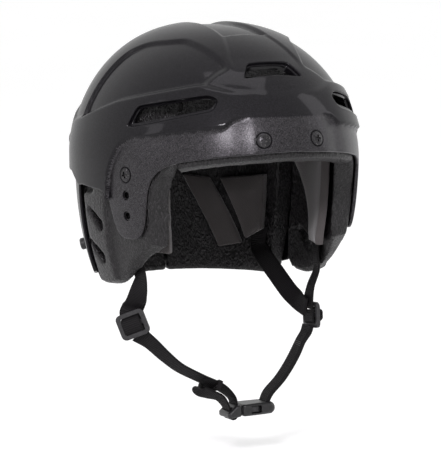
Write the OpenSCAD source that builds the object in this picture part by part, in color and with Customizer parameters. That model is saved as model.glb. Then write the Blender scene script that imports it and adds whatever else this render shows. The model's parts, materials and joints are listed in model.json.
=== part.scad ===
// Multi-sport helmet: two nested shells, foam liners, comfort pads and a chin strap with buckle.
// Front is -Y, the wearer's left is +X, up is +Z. Height 0 is the level of the brow edge.
// Places on the dome are given by an angle from the front and a height.

/* [Dome] */
// Half width of the bare dome across the ears
half_w = 110; // [105:0.5:115]
// Crown pole to the front of the dome
front_len = 146; // [141:1:151]
// Crown pole to the back of the dome
back_len = 125; // [120:1:130]
// Crown pole behind the origin
pole_y = 12; // [9:1:15]
// Height of the widest level below the brow edge
belt_drop = 9.6; // [8:0.2:12]
// Widest level up to the crown
crown_h = 104.2; // [100:0.2:108]
// How square the crown curve is
crown_square = 2.42; // [2.3:0.01:2.55]
// How soon the crown curve starts
crown_start = 1.82; // [1.75:0.01:1.9]
// Depth over which the lower sides would close
side_close = 170; // [164:1:178]

/* [Front shell] */
// Wall of the front shell
front_wall = 3; // [2.6:0.1:3.4]
// Height of the brow edge at its arches
brow_arch = 2; // [0.5:0.25:3.5]
// Depth of the temple tab below the brow edge
tab_drop = 70.5; // [67:0.5:74]
// Depth of the ear cut-out below the brow edge
cutout_drop = 33; // [31:0.5:35]
// Height of the back edge over the nape
back_edge = 54; // [50:0.5:58]
// How far the side band stands out
band_out = 2.2; // [1.4:0.1:3]
// How far the brow panel is set in under the band
panel_in = 3.6; // [2.6:0.1:4.4]
// How deep the smooth side panels are sunk
side_sink = 2.4; // [1.6:0.1:3]
// How deep the crown channel is sunk
channel_sink = 2.8; // [1.8:0.1:3.4]
// Half width of the crown channel
channel_half = 17; // [14:0.5:20]

/* [Rear shell] */
// Wall of the rear shell
rear_wall = 2.8; // [2.4:0.1:3]
// Depth of the rear rim below the brow edge
rear_drop = 113; // [109:0.5:117]
// Travel of the size adjustment
size_travel = 10; // [6:0.5:12]
// How far the rear shell runs up under the front shell
lap = 21; // [19:0.5:24]

/* [Foam] */
// Thickness of the hard foam liners
foam = 15.5; // [13:0.5:18]
// Depth of the ear flaps below the brow edge
ear_drop = 112.5; // [109:0.5:116]
// Thickness of the comfort pads at their crown
pad_thick = 8; // [6:0.5:9]
// Radius of the round end of an ear hole
ear_hole_r = 5; // [4:0.25:6]

/* [Fasteners] */
// Diameter of a screw head
head_d = 11; // [10:0.25:12]
// Height of a screw head
head_h = 2.4; // [2:0.1:3]
// Diameter of a screw shank
shank_d = 3.9; // [3.4:0.1:4.3]
// Bore of a tee nut
nut_bore_d = 4.5; // [4.4:0.1:4.9]
// Outer diameter of a tee nut barrel
nut_barrel_d = 6.6; // [6.2:0.1:7]
// Diameter of a tee nut flange
nut_flange_d = 13; // [12:0.25:14]
// Thickness of a tee nut flange
nut_flange_t = 1.2; // [1:0.1:1.6]
// Length of a tee nut bore
nut_len = 9; // [8:0.25:10]
// Half spacing of the front screws
front_screw_x = 22.7; // [20:0.1:25]
// Height of the front screws
front_screw_z = 11; // [9:0.5:13]
// Height of the top temple hole below the brow edge
temple_drop = 19.4; // [18:0.2:21]
// Spacing of the temple holes
temple_pitch = 16.1; // [15:0.1:17]

/* [Straps] */
// Width of the webbing
web_w = 15; // [14:0.25:16]
// Thickness of the webbing
web_t = 1.6; // [1.4:0.1:1.8]
// Travel of a strap slider each way
slider_travel = 6; // [4:0.5:8]

/* [Strap slider] */
// Width of a slider
slider_w = 24; // [23:0.25:27]
// Length of a slider
slider_l = 21; // [20:0.25:24]
// Thickness of a slider
slider_t = 2.8; // [2.4:0.1:3.4]
// Centre bar of a slider
slider_bar = 3.6; // [3:0.1:4]
// End bars of a slider
slider_rim = 3.6; // [3:0.1:4]

/* [Buckle] */
// Length of the closed buckle
buckle_l = 42; // [40:0.5:45]
// Width of the buckle
buckle_w = 23; // [22:0.25:25]
// Thickness of the buckle
buckle_t = 9.6; // [8.8:0.1:10.4]
// Length of the socket half
socket_l = 29.5; // [28:0.25:31]
// Wall of the socket
socket_wall = 1.8; // [1.5:0.1:2.1]
// How far the plug pulls out
plug_travel = 22; // [20:0.5:25]
// Angle that a prong bends in
prong_bend = 5; // [3:0.5:6]

/* [Hidden] */

// Clearance between pieces that nest or slide
fit = 0.35;
// Extra room for the flat facets of two neighbouring grids
facet_room = 0.45;
belt_z = -belt_drop;
side_power = 2.3;
shell_colour = [0.13, 0.13, 0.14];
foam_colour = [0.22, 0.22, 0.23];
pad_colour = [0.35, 0.35, 0.36];
web_colour = [0.1, 0.1, 0.11];
buckle_colour = [0.08, 0.08, 0.08];
steel_colour = [0.55, 0.55, 0.57];

function ease(x, a, b) = let (t = min(1, max(0, (x - a) / (b - a)))) t * t * (3 - 2 * t);

function mix(a, b, t) = a * (1 - t) + b * t;

function unit(v) = v / norm(v);

// Angle from the front, folded to 0 to 180
function fold(a) = let (t = (a % 360 + 360) % 360) t > 180 ? 360 - t : t;

// Radius of the plan oval in direction a, grown by d
function plan_r(a, d) = let (len = cos(a) > 0 ? front_len : back_len)
    1 / sqrt(pow(sin(a) / (half_w + d), 2) + pow(cos(a) / (len + d), 2));

// Share of the plan oval that is left at height z
function fall(z) = z > belt_z
    ? pow(max(0, 1 - pow(min(1, (z - belt_z) / crown_h), crown_start)), 1 / crown_square)
    : pow(1 - pow((belt_z - z) / side_close, side_power), 1 / side_power);

// Point of the dome at angle a and height z, moved out by d
function at(a, z, d) = let (
        r = plan_r(a, d) * fall(z),
        h = z > belt_z ? z + d * (z - belt_z) / crown_h : z)
    [r * sin(a), pole_y - r * cos(a), h];

// Outward direction of the dome at angle a and height z
function out_dir(a, z) = unit(cross(at(a + 0.5, z, 0) - at(a - 0.5, z, 0), at(a, z + 0.5, 0) - at(a, z - 0.5, 0)));

// Puts children on the dome with +Z outwards
module on_dome(a, z, d = 0) {
    n = out_dir(a, z);
    translate(at(a, z, d))
        rotate([0, acos(n.z), atan2(n.y, n.x)])
            children();
}

// Lower edge of the front shell by folded angle
edge_line = [[0, brow_arch], [10, brow_arch - 1.2], [20, brow_arch - 2.6], [31, brow_arch], [37, brow_arch - 0.6],
    [42, brow_arch - 4], [46, -9], [49, -16.5], [50.8, -26], [51.6, -36], [51.8, 20.5 - tab_drop],
    [52.6, 12 - tab_drop], [54.2, 5 - tab_drop], [56.6, 1 - tab_drop], [60, -tab_drop], [64, 0.4 - tab_drop],
    [67.4, 4 - tab_drop], [69.4, 12 - tab_drop], [71, 23 - tab_drop], [73, -2.5 - cutout_drop],
    [76, -0.5 - cutout_drop], [82, -cutout_drop], [92, 1 - cutout_drop], [97, -cutout_drop],
    [101, 4 - cutout_drop], [107, 9 - cutout_drop], [116, 9 - cutout_drop], [123, 14 - cutout_drop],
    [132, back_edge - 57], [141, back_edge - 36], [150, back_edge - 17], [162, back_edge - 3], [180, back_edge]];
function edge_z(a) = lookup(fold(a), edge_line);

// Middle of the undercut between the brow panel and the side band
step_line = [[0, 27], [14, 28], [18, 26], [21.5, 19.5], [43, 12.5], [58, 8.5], [64, 3], [68, -8], [71, -20],
    [73, -60], [75, -200], [180, -200]];

// Rows of the front shell follow the undercut and, past it, the lower edge
step_row = [[0, 24], [14, 28], [18, 26], [21.5, 19.5], [43, 12.5], [58, 8.5], [64, 3], [68, -8], [74, -14],
    [94, -13], [108, -9], [122, 0], [135, 20], [150, 50], [180, 66]];

// Crease over the side band
crease_line = [[0, 45.6], [18, 46], [25, 49], [30, 51.4], [48, 45], [70, 37], [101, 20], [118, 15], [132, 30],
    [150, 60], [180, 74]];

// Outer edge of the crown ridges by distance behind the origin
ridge_outer = [[-84, 31], [-55, 38], [-33, 43], [-20, 52], [0, 61], [15, 71], [24, 88], [34, 110], [44, 150]];
// Inner edge of the crown ridges
ridge_inner = [[-84, channel_half + 14], [-47, channel_half + 3], [0, channel_half], [110, channel_half - 2]];
channel_front_y = -47;
recess_front_y = -84;

// How far the front shell stands off the plain dome
function relief(a, z) = let (
        b = fold(a),
        p = at(a, z, 0),
        x = abs(p.x),
        band = ease(lookup(b, crease_line) - z, -2.5, 2.5) * mix(0.15, 1, ease(b, 10, 26))
            * (1 - ease(b, 124, 138)),
        panel = ease(lookup(b, step_line) - z, -2, 2) * ease(b, 11, 20),
        sunk = ease(z - lookup(b, crease_line), -2.5, 2.5) * ease(x - lookup(p.y, ridge_outer), 0, 5)
            * ease(p.y, recess_front_y - 4, recess_front_y + 2),
        inner = 1 - ease(x - lookup(p.y, ridge_inner), -4, 1),
        channel = inner * ease(p.y, channel_front_y - 3, channel_front_y + 3) * (1 - ease(p.y, 84, 100)),
        facet = inner * ease(z, 60, 72) * 0.4)
    band_out * band - panel_in * panel - side_sink * sunk - channel_sink * max(channel, facet) + 0.3;

// Triangles of a quad of point numbers
function halves(q) = [[q[0], q[1], q[2]], [q[0], q[2], q[3]]];

// Closed wall between two grids of points, rows upwards and columns by rising angle
module walled(outer, inner) {
    rows = len(outer);
    cols = len(outer[0]);
    o = function (r, c) r * cols + c;
    i = function (r, c) (rows + r) * cols + c;
    top = rows - 1;
    last = cols - 1;
    polyhedron(
        concat([for (r = outer) each r], [for (r = inner) each r]),
        concat(
            [for (r = [0:top - 1], c = [0:last - 1]) each halves([o(r, c), o(r + 1, c), o(r + 1, c + 1), o(r, c + 1)])],
            [for (r = [0:top - 1], c = [0:last - 1]) each halves([i(r, c), i(r, c + 1), i(r + 1, c + 1), i(r + 1, c)])],
            [for (c = [0:last - 1]) each halves([o(0, c), o(0, c + 1), i(0, c + 1), i(0, c)])],
            [for (c = [0:last - 1]) each halves([o(top, c + 1), o(top, c), i(top, c), i(top, c + 1)])],
            [for (r = [0:top - 1]) each halves([o(r + 1, 0), o(r, 0), i(r, 0), i(r + 1, 0)])],
            [for (r = [0:top - 1]) each halves([o(r, last), o(r + 1, last), i(r + 1, last), i(r, last)])]));
}

// Closed cap between two round grids whose columns meet at a pole
module capped(outer, inner, outer_pole, inner_pole) {
    rows = len(outer);
    cols = len(outer[0]);
    o = function (r, c) r * cols + c % cols;
    i = function (r, c) (rows + r) * cols + c % cols;
    top = rows - 1;
    poles = 2 * rows * cols;
    polyhedron(
        concat([for (r = outer) each r], [for (r = inner) each r], [outer_pole, inner_pole]),
        concat(
            [for (r = [0:top - 1], c = [0:cols - 1]) each halves([o(r, c), o(r + 1, c), o(r + 1, c + 1), o(r, c + 1)])],
            [for (r = [0:top - 1], c = [0:cols - 1]) each halves([i(r, c), i(r, c + 1), i(r + 1, c + 1), i(r + 1, c)])],
            [for (c = [0:cols - 1]) each halves([o(0, c), o(0, c + 1), i(0, c + 1), i(0, c)])],
            [for (c = [0:cols - 1]) [o(top, c), poles, o(top, c + 1)]],
            [for (c = [0:cols - 1]) [i(top, c), i(top, c + 1), poles + 1]]));
}

// Heights from a start height up to the crown in even steps of arc, the pole left out
function rise(z0, steps) = let (t0 = asin((z0 - belt_z) / crown_h))
    [for (k = [0:steps - 1]) belt_z + crown_h * sin(mix(t0, 90, k / steps))];

half_columns = [0, 6, 11, 15, 19, 22, 26, 31, 37, 42, 46, 49, 51, 52, 54, 57, 61, 65, 68, 70, 72, 75, 81, 88,
    95, 101, 108, 116, 124, 132, 141, 150, 160, 170, 180];
shell_columns = concat(half_columns, [for (k = [len(half_columns) - 2:-1:1]) 360 - half_columns[k]]);

// Heights of the front shell's rows at angle a
function shell_rows(a) = let (
        b = fold(a),
        e = edge_z(a),
        s = max(lookup(b, step_row), e + 5),
        c = max(lookup(b, crease_line), s + 8))
    concat([for (k = [0, 0.3, 0.6, 0.82, 1]) mix(e, s - 2.2, k)], [s + 2.2, mix(s + 2.2, c - 2.6, 0.5), c - 2.6],
        rise(c + 2.6, 9));

module shell_skin(extra) {
    row_count = len(shell_rows(0));
    function grid(d) = [for (r = [0:row_count - 1]) [for (a = shell_columns)
        let (z = shell_rows(a)[r]) at(a, z, relief(a, z) + d)]];
    capped(grid(0), grid(-extra), [0, pole_y, belt_z + crown_h + relief(0, belt_z + crown_h)],
        [0, pole_y, belt_z + crown_h + relief(0, belt_z + crown_h) - extra]);
}

// Side vent, seen from outside on the wearer's right: x runs to the front
side_vent = [[-40.7, -13.3], [-31.2, 4.6], [30, 15], [38.2, 10.8], [35.6, 1.9], [-37.6, -13.8]];
side_vent_turn = 41.5;
vent_lip = 2.2;

module side_vent_cut(side, grow, from, to) {
    mirror([side < 0 ? 0 : 1, 0, 0])
        translate([-75, -76, 30])
            rotate([90, 0, -side_vent_turn])
                translate([0, 0, from])
                    linear_extrude(to - from)
                        offset(r = 3 + grow)
                            offset(delta = -3)
                                polygon(side_vent);
}

// Front vent, wider at its lower side
front_vent = [[-26, -8], [-17.5, 8.5], [17.5, 8.5], [26, -8]];

module front_vent_cut(grow, from, to) {
    translate([0, -94, 62])
        rotate([50, 0, 0])
            translate([0, 0, from])
                linear_extrude(to - from)
                    offset(r = 4 + grow)
                        offset(delta = -4)
                            polygon(front_vent);
}

temple_a = 61;
temple_z = [for (k = [0:2]) -temple_drop - k * temple_pitch];
size_places = [for (a = [126, 141]) [a, edge_z(a) + 13]];
front_screw_a = asin(front_screw_x / (plan_r(0, 0) * fall(front_screw_z)));
seat_sink = 0.9;

module front_shell() color(shell_colour) difference() {
    shell_skin(front_wall);
    for (side = [-1, 1]) {
        side_vent_cut(side, -vent_lip, -20, 30);
        on_dome(side * front_screw_a, front_screw_z, relief(front_screw_a, front_screw_z))
            seat_cut();
        for (z = temple_z)
            on_dome(side * temple_a, z, relief(temple_a, z))
                hole_cut();
        on_dome(side * temple_a, temple_z[0], relief(temple_a, temple_z[0]))
            seat_cut();
        for (p = size_places)
            on_dome(side * p[0], p[1], relief(p[0], p[1]))
                seat_cut();
    }
    front_vent_cut(-1, -20, 20);
}

// Clearance hole for a tee nut barrel
module hole_cut() {
    translate([0, 0, -front_wall - 6])
        cylinder(h = front_wall + 12, r = nut_barrel_d / 2 + fit, $fn = 32);
}

// The hole with a flat round seat for a screw head
module seat_cut() {
    hole_cut();
    translate([0, 0, -seat_sink])
        cylinder(h = 8, r = head_d / 2 + 1.2, $fn = 48);
}

// Pan head screw whose head sits in its seat
module pan_screw(len) {
    translate([0, 0, -seat_sink]) {
        difference() {
            intersection() {
                cylinder(h = head_h, r = head_d / 2, $fn = 48);
                translate([0, 0, head_h - head_d])
                    sphere(r = head_d, $fn = 96);
            }
            for (t = [0, 90])
                rotate([0, 0, t])
                    translate([-2.6, -0.55, head_h - 1.3])
                        cube([5.2, 1.1, 3]);
        }
        translate([0, 0, -len])
            cylinder(h = len, r = shank_d / 2, $fn = 32);
    }
}

// Tee nut: the barrel fills the hole, the flange lies behind the wall, and the thread starts below a plain lead-in
nut_lead = 2.6;
nut_lead_r = nut_bore_d / 2 + 0.5;
module tee_nut(top, wall) {
    difference() {
        union() {
            translate([0, 0, top - nut_len])
                cylinder(h = nut_len, r = nut_barrel_d / 2, $fn = 32);
            translate([0, 0, -wall - fit - facet_room - nut_flange_t])
                cylinder(h = nut_flange_t, r = nut_flange_d / 2, $fn = 32);
        }
        translate([0, 0, top - nut_len - 1])
            cylinder(h = nut_len + 2, r = nut_bore_d / 2, $fn = 32);
        translate([0, 0, top - nut_lead])
            cylinder(h = nut_lead + 1, r = nut_lead_r, $fn = 32);
    }
}

// Pocket for a tee nut and the screw end, cut from the outside of a liner
module nut_pocket() {
    translate([0, 0, -front_wall - nut_len - 3])
        cylinder(h = nut_len + 12, r = nut_flange_d / 2 + 1, $fn = 32);
}

// Column k of n, read as a share from 0 to 1
function shares(n) = [for (k = [0:n]) k / n];

module both_sides(side) {
    mirror([side < 0 ? 1 : 0, 0, 0])
        children();
}

// Lowest relief close to a point, so that nothing under the shell reaches into its steps
function lowest(a, z) = min([for (p = [[0, 0], [0, 8], [0, -8], [4, 0], [-4, 0]]) relief(a + p.x, z + p.y)]);

// Outer face of whatever lies under the front shell
function under(a, z) = lowest(a, z) - front_wall - fit - facet_room;

// Outer face of the rear shell: it clears the front shell on its whole way forward and flares out below it
flare = 2.4;
function rear_out(a, z) = min([for (k = [0, 4, 8]) under(fold(a) - k, z)]) - 2 * facet_room
    + flare * ease(edge_z(a) - 5 - z, 0, 9) * ease(fold(a), 126, 140);

// Outer face of the rear foam
function rear_foam_out(a, z) = rear_out(a, z) - rear_wall - fit - facet_room - 0.2;

// Outer face of the side foam, set in where the rear shell slides over it
function side_out(a, z) = under(a, z) - 0.3 - (rear_wall + 4) * ease(fold(a), 85, 92);

// The foam's inner face is a smooth dome of its own, set in further where the rear shell carries it
function foam_in(a) = -5.5 - foam - 2.7 * ease(fold(a), 100, 118);

flap_thin = 3;
function side_in(a, z) = foam_in(a) + flap_thin * ease(-z, ear_drop - 42.5, ear_drop - 12.5);

rear_low = [[99, -44], [100.5, -62], [102.5, -82], [105, -96], [110, 6 - rear_drop], [120, 3 - rear_drop],
    [132, 2 - rear_drop], [180, 3 - rear_drop]];
rear_columns = [99, 100.5, 103, 106, 110, 116, 122, 128, 134, 141, 148, 156, 164, 172, 180];
rear_all_columns = concat(rear_columns, [for (k = [len(rear_columns) - 2:-1:0]) 360 - rear_columns[k]]);

// Rear vent, a slot on each side of the centre
module rear_vent_cut(side) {
    on_dome(side * 156, -6)
        rotate([0, 0, -18 * side])
            translate([0, 0, -30])
                linear_extrude(60)
                    offset(r = 4)
                        square([5, 30], center = true);
}

// Slot for a size screw: the screw stays while the rear shell moves to the front
module size_slot(side, p) {
    r = nut_barrel_d / 2 + 0.8;
    hull()
        for (y = [0, size_travel])
            translate([0, y, 0])
                on_dome(side * p[0], p[1], relief(p[0], p[1]))
                    translate([0, 0, -25])
                        cylinder(h = 30, r = r, $fn = 24);
}

module rear_shell() color(shell_colour) difference() {
    union() {
        walled(
            [for (v = shares(11)) [for (a = rear_all_columns)
                let (z = mix(lookup(fold(a), rear_low), edge_z(a) + lap, v)) at(a, z, rear_out(a, z))]],
            [for (v = shares(11)) [for (a = rear_all_columns)
                let (z = mix(lookup(fold(a), rear_low), edge_z(a) + lap, v)) at(a, z, rear_out(a, z) - rear_wall)]]);
        for (side = [-1, 1])
            rear_tab(side);
    }
    for (side = [-1, 1]) {
        rear_vent_cut(side);
        for (p = size_places)
            size_slot(side, p);
        both_sides(side)
            at_stud()
                translate([0, 0, -rear_wall - 3])
                    cylinder(h = rear_wall + 6, r = stud_shank_r + fit, $fn = 32);
    }
}

// Small tab below the rim at each side of the nape
tab_a = 133;
tab_half_a = 4;
tab_len = 9;
module rear_tab(side) {
    columns = [for (k = [-1:1]) side * tab_a + k * tab_half_a];
    rows = [for (k = [0:2]) mix(-rear_drop - tab_len, 8 - rear_drop, k / 2)];
    walled(
        [for (z = rows) [for (a = columns) at(a, z, rear_out(a, z) - 0.2)]],
        [for (z = rows) [for (a = columns) at(a, z, rear_out(a, z) + 0.2 - rear_wall)]]);
}

// Hard foam behind the brow, from temple to temple
brow_half = 38;
brow_columns = [for (k = [-5:5]) brow_half * k / 5];
brow_rows = [0, 0.12, 0.34, 0.62, 0.88, 1];
liner_top = 46.5;
foam_below = 6;

function brow_out(a, z) = under(a, max(z, edge_z(a)));

module brow_liner() color(foam_colour) difference() {
    walled(
        [for (v = brow_rows) [for (a = brow_columns)
            let (z = mix(edge_z(a) - foam_below + 3, liner_top, v)) at(a, z, brow_out(a, z))]],
        [for (v = brow_rows) [for (a = brow_columns)
            let (z = mix(edge_z(a) - foam_below - 1.5, liner_top - 1, v),
                round_in = 3.5 * pow(1 - v, 8)) at(a, z, foam_in(a) + round_in)]]);
    for (side = [-1, 1]) {
        on_dome(side * front_screw_a, front_screw_z, relief(front_screw_a, front_screw_z))
            nut_pocket();
        hull()
            for (up = [0, crown_h - liner_top])
                translate([0, 0, up])
                    side_vent_cut(side, 1, -foam - 9, 30);
    }
}

// Hard foam of one side: temple and ear flap in one piece
side_front_out = [[-200, 50.5], [-30, 50.5], [-16, 46.5], [-5, 41], [2, brow_half + 0.7], [100, brow_half + 0.7]];
side_front_in = [[-200, 44], [-20, 43], [-6, 40.5], [2, brow_half + 0.7], [100, brow_half + 0.7]];
side_back = 106;
side_low = [[0, 38.5 - ear_drop], [0.08, 33 - ear_drop], [0.18, 27 - ear_drop], [0.3, 16 - ear_drop],
    [0.42, 8 - ear_drop], [0.55, 2.5 - ear_drop], [0.7, -ear_drop], [0.86, 0.5 - ear_drop], [0.95, 4 - ear_drop],
    [1, 10 - ear_drop]];
side_columns = [0, 0.05, 0.12, 0.2, 0.3, 0.42, 0.54, 0.66, 0.78, 0.88, 0.95, 1];
side_rows = [0, 0.04, 0.12, 0.22, 0.32, 0.42, 0.52, 0.61, 0.69, 0.77, 0.86, 0.94, 1];

function side_place(front, drop, u, v) = let (
        z = mix(lookup(u, side_low) + drop, liner_top, v),
        back = side_back - 3 * ease(-z, 60, 110))
    [mix(lookup(z, front), back, u), z];

// An ear hole: a round lower end drawn out to a narrow tip behind it
ear_holes = [[[-1, -62.5], [15, -51.5]], [[6, -89], [22, -78]]];
module ear_hole_cut(grow, hole) {
    translate([140, 0, 0])
        rotate([0, -90, 0])
            linear_extrude(90)
                hull() {
                    translate([hole[0].y, hole[0].x])
                        circle(r = ear_hole_r + grow, $fn = 24);
                    translate([hole[1].y, hole[1].x])
                        circle(r = ear_hole_r * 0.42 + grow, $fn = 16);
                }
}

module side_liner(side) {
    both_sides(side) difference() {
        walled(
            [for (v = side_rows) [for (u = side_columns)
                let (p = side_place(side_front_out, 1.5, u, v)) at(p[0], p[1], side_out(p[0], p[1]))]],
            [for (v = side_rows) [for (u = side_columns)
                let (p = side_place(side_front_in, 0, u, v), round_in = 4 * pow(1 - v, 14))
                    at(p[0], p[1], side_in(p[0], p[1]) + round_in)]]);
        for (z = temple_z)
            on_dome(temple_a, z, relief(temple_a, z))
                nut_pocket();
        side_vent_cut(1, 1, -20, 30);
        for (hole = ear_holes)
            ear_hole_cut(0, hole);
        at_front_anchor()
            anchor_plate(fit, false);
    }
}

module right_side_liner() color(foam_colour) side_liner(-1);

module left_side_liner() color(foam_colour) side_liner(1);

// Hard foam of one half of the nape, carried by the rear shell
rear_front = 115;
rear_middle = 179.6;
rear_top = [[108, 20], [118, 32], [125, 42], [140, 58], [155, 66], [180, 68]];
rear_foam_columns = [0, 0.08, 0.2, 0.34, 0.48, 0.62, 0.76, 0.9, 1];
rear_foam_rows = [0, 0.04, 0.12, 0.24, 0.36, 0.48, 0.6, 0.72, 0.84, 0.94, 1];

module rear_liner(side) {
    both_sides(side) difference() {
        walled(
            [for (v = rear_foam_rows) [for (u = rear_foam_columns) let (
                    a = mix(rear_front, rear_middle, u),
                    z = mix(-rear_drop - 2, lookup(a, rear_top), v))
                at(a, z, rear_foam_out(a, z))]],
            [for (v = rear_foam_rows) [for (u = rear_foam_columns) let (
                    a = mix(rear_front + 1.5, rear_middle, u),
                    z = mix(-rear_drop - 4, lookup(a, rear_top) - 1, v))
                at(a, z, foam_in(a) + 4 * pow(1 - v, 14))]]);
        rear_vent_cut(1);
        for (p = size_places)
            size_pocket(p);
        at_stud()
            translate([0, 0, -40])
                cylinder(h = 60, r = stud_shank_r + fit, $fn = 32);
        at_rear_anchor()
            anchor_plate(fit, false);
    }
}

// Room for a size nut over the whole travel
module size_pocket(p) {
    hull()
        for (y = [0, size_travel])
            translate([0, y, 0])
                on_dome(p[0], p[1], relief(p[0], p[1]))
                    translate([0, 0, -front_wall - nut_len - 10])
                        cylinder(h = nut_len + 15, r = nut_flange_d / 2 + 1, $fn = 24);
}

module right_rear_liner() color(foam_colour) rear_liner(-1);

module left_rear_liner() color(foam_colour) rear_liner(1);

// Hard foam under the crown, open at the front vent
crown_rim = [[0, 49], [108, 49], [118, 51.5], [125, 58], [140, 78], [160, 86], [180, 87]];
crown_columns = [for (k = [0:31]) 11.25 * k];
crown_rows = 6;

module crown_liner() color(foam_colour) difference() {
    pole_z = belt_z + crown_h;
    capped(
        [for (r = [0:crown_rows - 1]) [for (a = crown_columns)
            let (z = rise(lookup(fold(a), crown_rim), crown_rows)[r]) at(a, z, under(a, z) - facet_room)]],
        [for (r = [0:crown_rows - 1]) [for (a = crown_columns)
            let (z = rise(lookup(fold(a), crown_rim) + 1, crown_rows)[r])
                at(a, z, foam_in(0))]],
        [0, pole_y, pole_z + under(0, pole_z) - facet_room],
        [0, pole_y, pole_z + foam_in(0)]);
    front_vent_cut(1, -24, 20);
}

// Comfort pad: crowned on the head's side, flat on the foam
pad_columns = [0, 0.06, 0.2, 0.4, 0.6, 0.8, 0.94, 1];
pad_rows = [0, 0.06, 0.2, 0.4, 0.6, 0.8, 0.94, 1];

function crown_of(u) = 1 - pow(abs(2 * u - 1), 5);

// A strap hangs this far from the foam behind it, and the pads over a strap stand off by both
strap_gap = 0.9;
strap_room = strap_gap + web_t;

pad_gap = fit + facet_room;
module pad(place, base) {
    walled(
        [for (v = pad_rows) [for (u = pad_columns)
            let (p = place(u, v)) at(p[0], p[1], base(p[0], p[1]) - pad_gap)]],
        [for (v = pad_rows) [for (u = pad_columns)
            let (p = place(mix(0.02, 0.98, u), mix(0.02, 0.98, v)),
                bulge = mix(0.45, 1, min(crown_of(u), crown_of(v))))
            at(p[0], p[1], base(p[0], p[1]) - pad_gap - pad_thick * bulge)]]);
}

module brow_pad() color(pad_colour)
    pad(function (u, v) [mix(-33, 33, u), mix(0, 34, v)], function (a, z) foam_in(a));

module temple_pad(side) {
    both_sides(side)
        pad(function (u, v) [mix(46, mix(84, 106, v), u), mix(-82, -14, v)],
            function (a, z) side_in(a, z) - strap_room);
}

module right_temple_pad() color(pad_colour) temple_pad(-1);

module left_temple_pad() color(pad_colour) temple_pad(1);

module outer_rear_pad(side) {
    both_sides(side)
        pad(function (u, v) [mix(122.5, mix(134, 150.5, v), u), mix(-92, -38, v)],
            function (a, z) foam_in(a) - strap_room);
}

module right_outer_rear_pad() color(pad_colour) outer_rear_pad(-1);

module left_outer_rear_pad() color(pad_colour) outer_rear_pad(1);

module inner_rear_pad(side) {
    both_sides(side)
        pad(function (u, v) [mix(mix(137, 156, v), mix(151, 170, v), u), mix(-97, -38, v)],
            function (a, z) foam_in(a));
}

module right_inner_rear_pad() color(pad_colour) inner_rear_pad(-1);

module left_inner_rear_pad() color(pad_colour) inner_rear_pad(1);

// Round pad under the crown
module crown_pad() color(pad_colour) {
    pole_z = belt_z + crown_h;
    base = foam_in(0) - pad_gap;
    columns = [for (k = [0:23]) 15 * k];
    heights = rise(pole_z - 14.6, 6);
    thick = [0.4, 0.75, 0.95, 1, 1, 1];
    capped(
        [for (r = [0:5]) [for (a = columns) at(a, heights[r], base)]],
        [for (r = [0:5]) [for (a = columns) at(a, heights[r], base - pad_thick * thick[r])]],
        [0, pole_y, pole_z + base],
        [0, pole_y, pole_z + base - pad_thick]);
}

module front_screws() color(steel_colour)
    for (side = [-1, 1])
        on_dome(side * front_screw_a, front_screw_z, relief(front_screw_a, front_screw_z))
            pan_screw(8);

module front_tee_nuts() color(steel_colour)
    for (side = [-1, 1])
        on_dome(side * front_screw_a, front_screw_z, relief(front_screw_a, front_screw_z))
            tee_nut(-seat_sink - 0.1, front_wall);

module temple_screws() color(steel_colour)
    for (side = [-1, 1])
        on_dome(side * temple_a, temple_z[0], relief(temple_a, temple_z[0]))
            pan_screw(8);

module temple_tee_nuts() color(steel_colour)
    for (side = [-1, 1], z = temple_z)
        on_dome(side * temple_a, z, relief(temple_a, z))
            tee_nut(-seat_sink - 0.1, front_wall);

// The size screws clamp both shells, so their nuts lie deeper
module size_screws() color(steel_colour)
    for (side = [-1, 1], p = size_places)
        on_dome(side * p[0], p[1], relief(p[0], p[1]))
            pan_screw(16);

size_nut_wall = 18;
module size_tee_nuts() color(steel_colour)
    for (side = [-1, 1], p = size_places)
        on_dome(side * p[0], p[1], relief(p[0], p[1]))
            tee_nut(nut_len - size_nut_wall - 2, size_nut_wall);

// Depth of one offset of the dome below another, square to the dome
function depth(a, z, outer, inner) = (at(a, z, outer) - at(a, z, inner)) * out_dir(a, z);

// Round stud outside the rear shell, screwed through the foam to a rear strap's plate
stud_a = 126;
stud_z = 27 - rear_drop;
stud_shank_r = 2.4;
stud_head_r = 4.8;
stud_head_h = 4.2;
stud_depth = depth(stud_a, stud_z, rear_out(stud_a, stud_z), foam_in(stud_a));

module at_stud() {
    on_dome(stud_a, stud_z, rear_out(stud_a, stud_z))
        children();
}

module rear_strap_studs() color(buckle_colour)
    for (side = [-1, 1])
        both_sides(side)
            at_stud() {
                translate([0, 0, fit])
                    cylinder(h = stud_head_h, r = stud_head_r, $fn = 40);
                translate([0, 0, fit + stud_head_h])
                    cylinder(h = 0.8, r1 = stud_head_r, r2 = stud_head_r - 0.8, $fn = 40);
                translate([0, 0, fit - stud_depth])
                    cylinder(h = stud_depth, r = stud_shank_r, $fn = 32);
            }

// Plate that carries a strap's upper end, sunk in the inside of the foam
plate_t = 2;
plate_w = 10;
module anchor_plate(grow, bore) {
    difference() {
        translate([0, 0, -grow])
            linear_extrude(plate_t + 2 * grow)
                offset(r = 3 + grow)
                    square([plate_w, web_w - 4], center = true);
        if (bore)
            translate([0, 0, -5])
                cylinder(h = 20, r = stud_shank_r + fit / 2, $fn = 32);
    }
}

strap_a = 70;
strap_z = -66;
module at_front_anchor() {
    on_dome(strap_a, strap_z, side_in(strap_a, strap_z))
        children();
}

module at_rear_anchor() {
    at_stud()
        translate([0, 0, -stud_depth])
            children();
}

module front_strap_anchors() color(buckle_colour)
    for (side = [-1, 1])
        both_sides(side)
            at_front_anchor()
                anchor_plate(0, false);

module rear_strap_anchors() color(buckle_colour)
    for (side = [-1, 1])
        both_sides(side)
            at_rear_anchor()
                anchor_plate(0, true);

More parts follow.
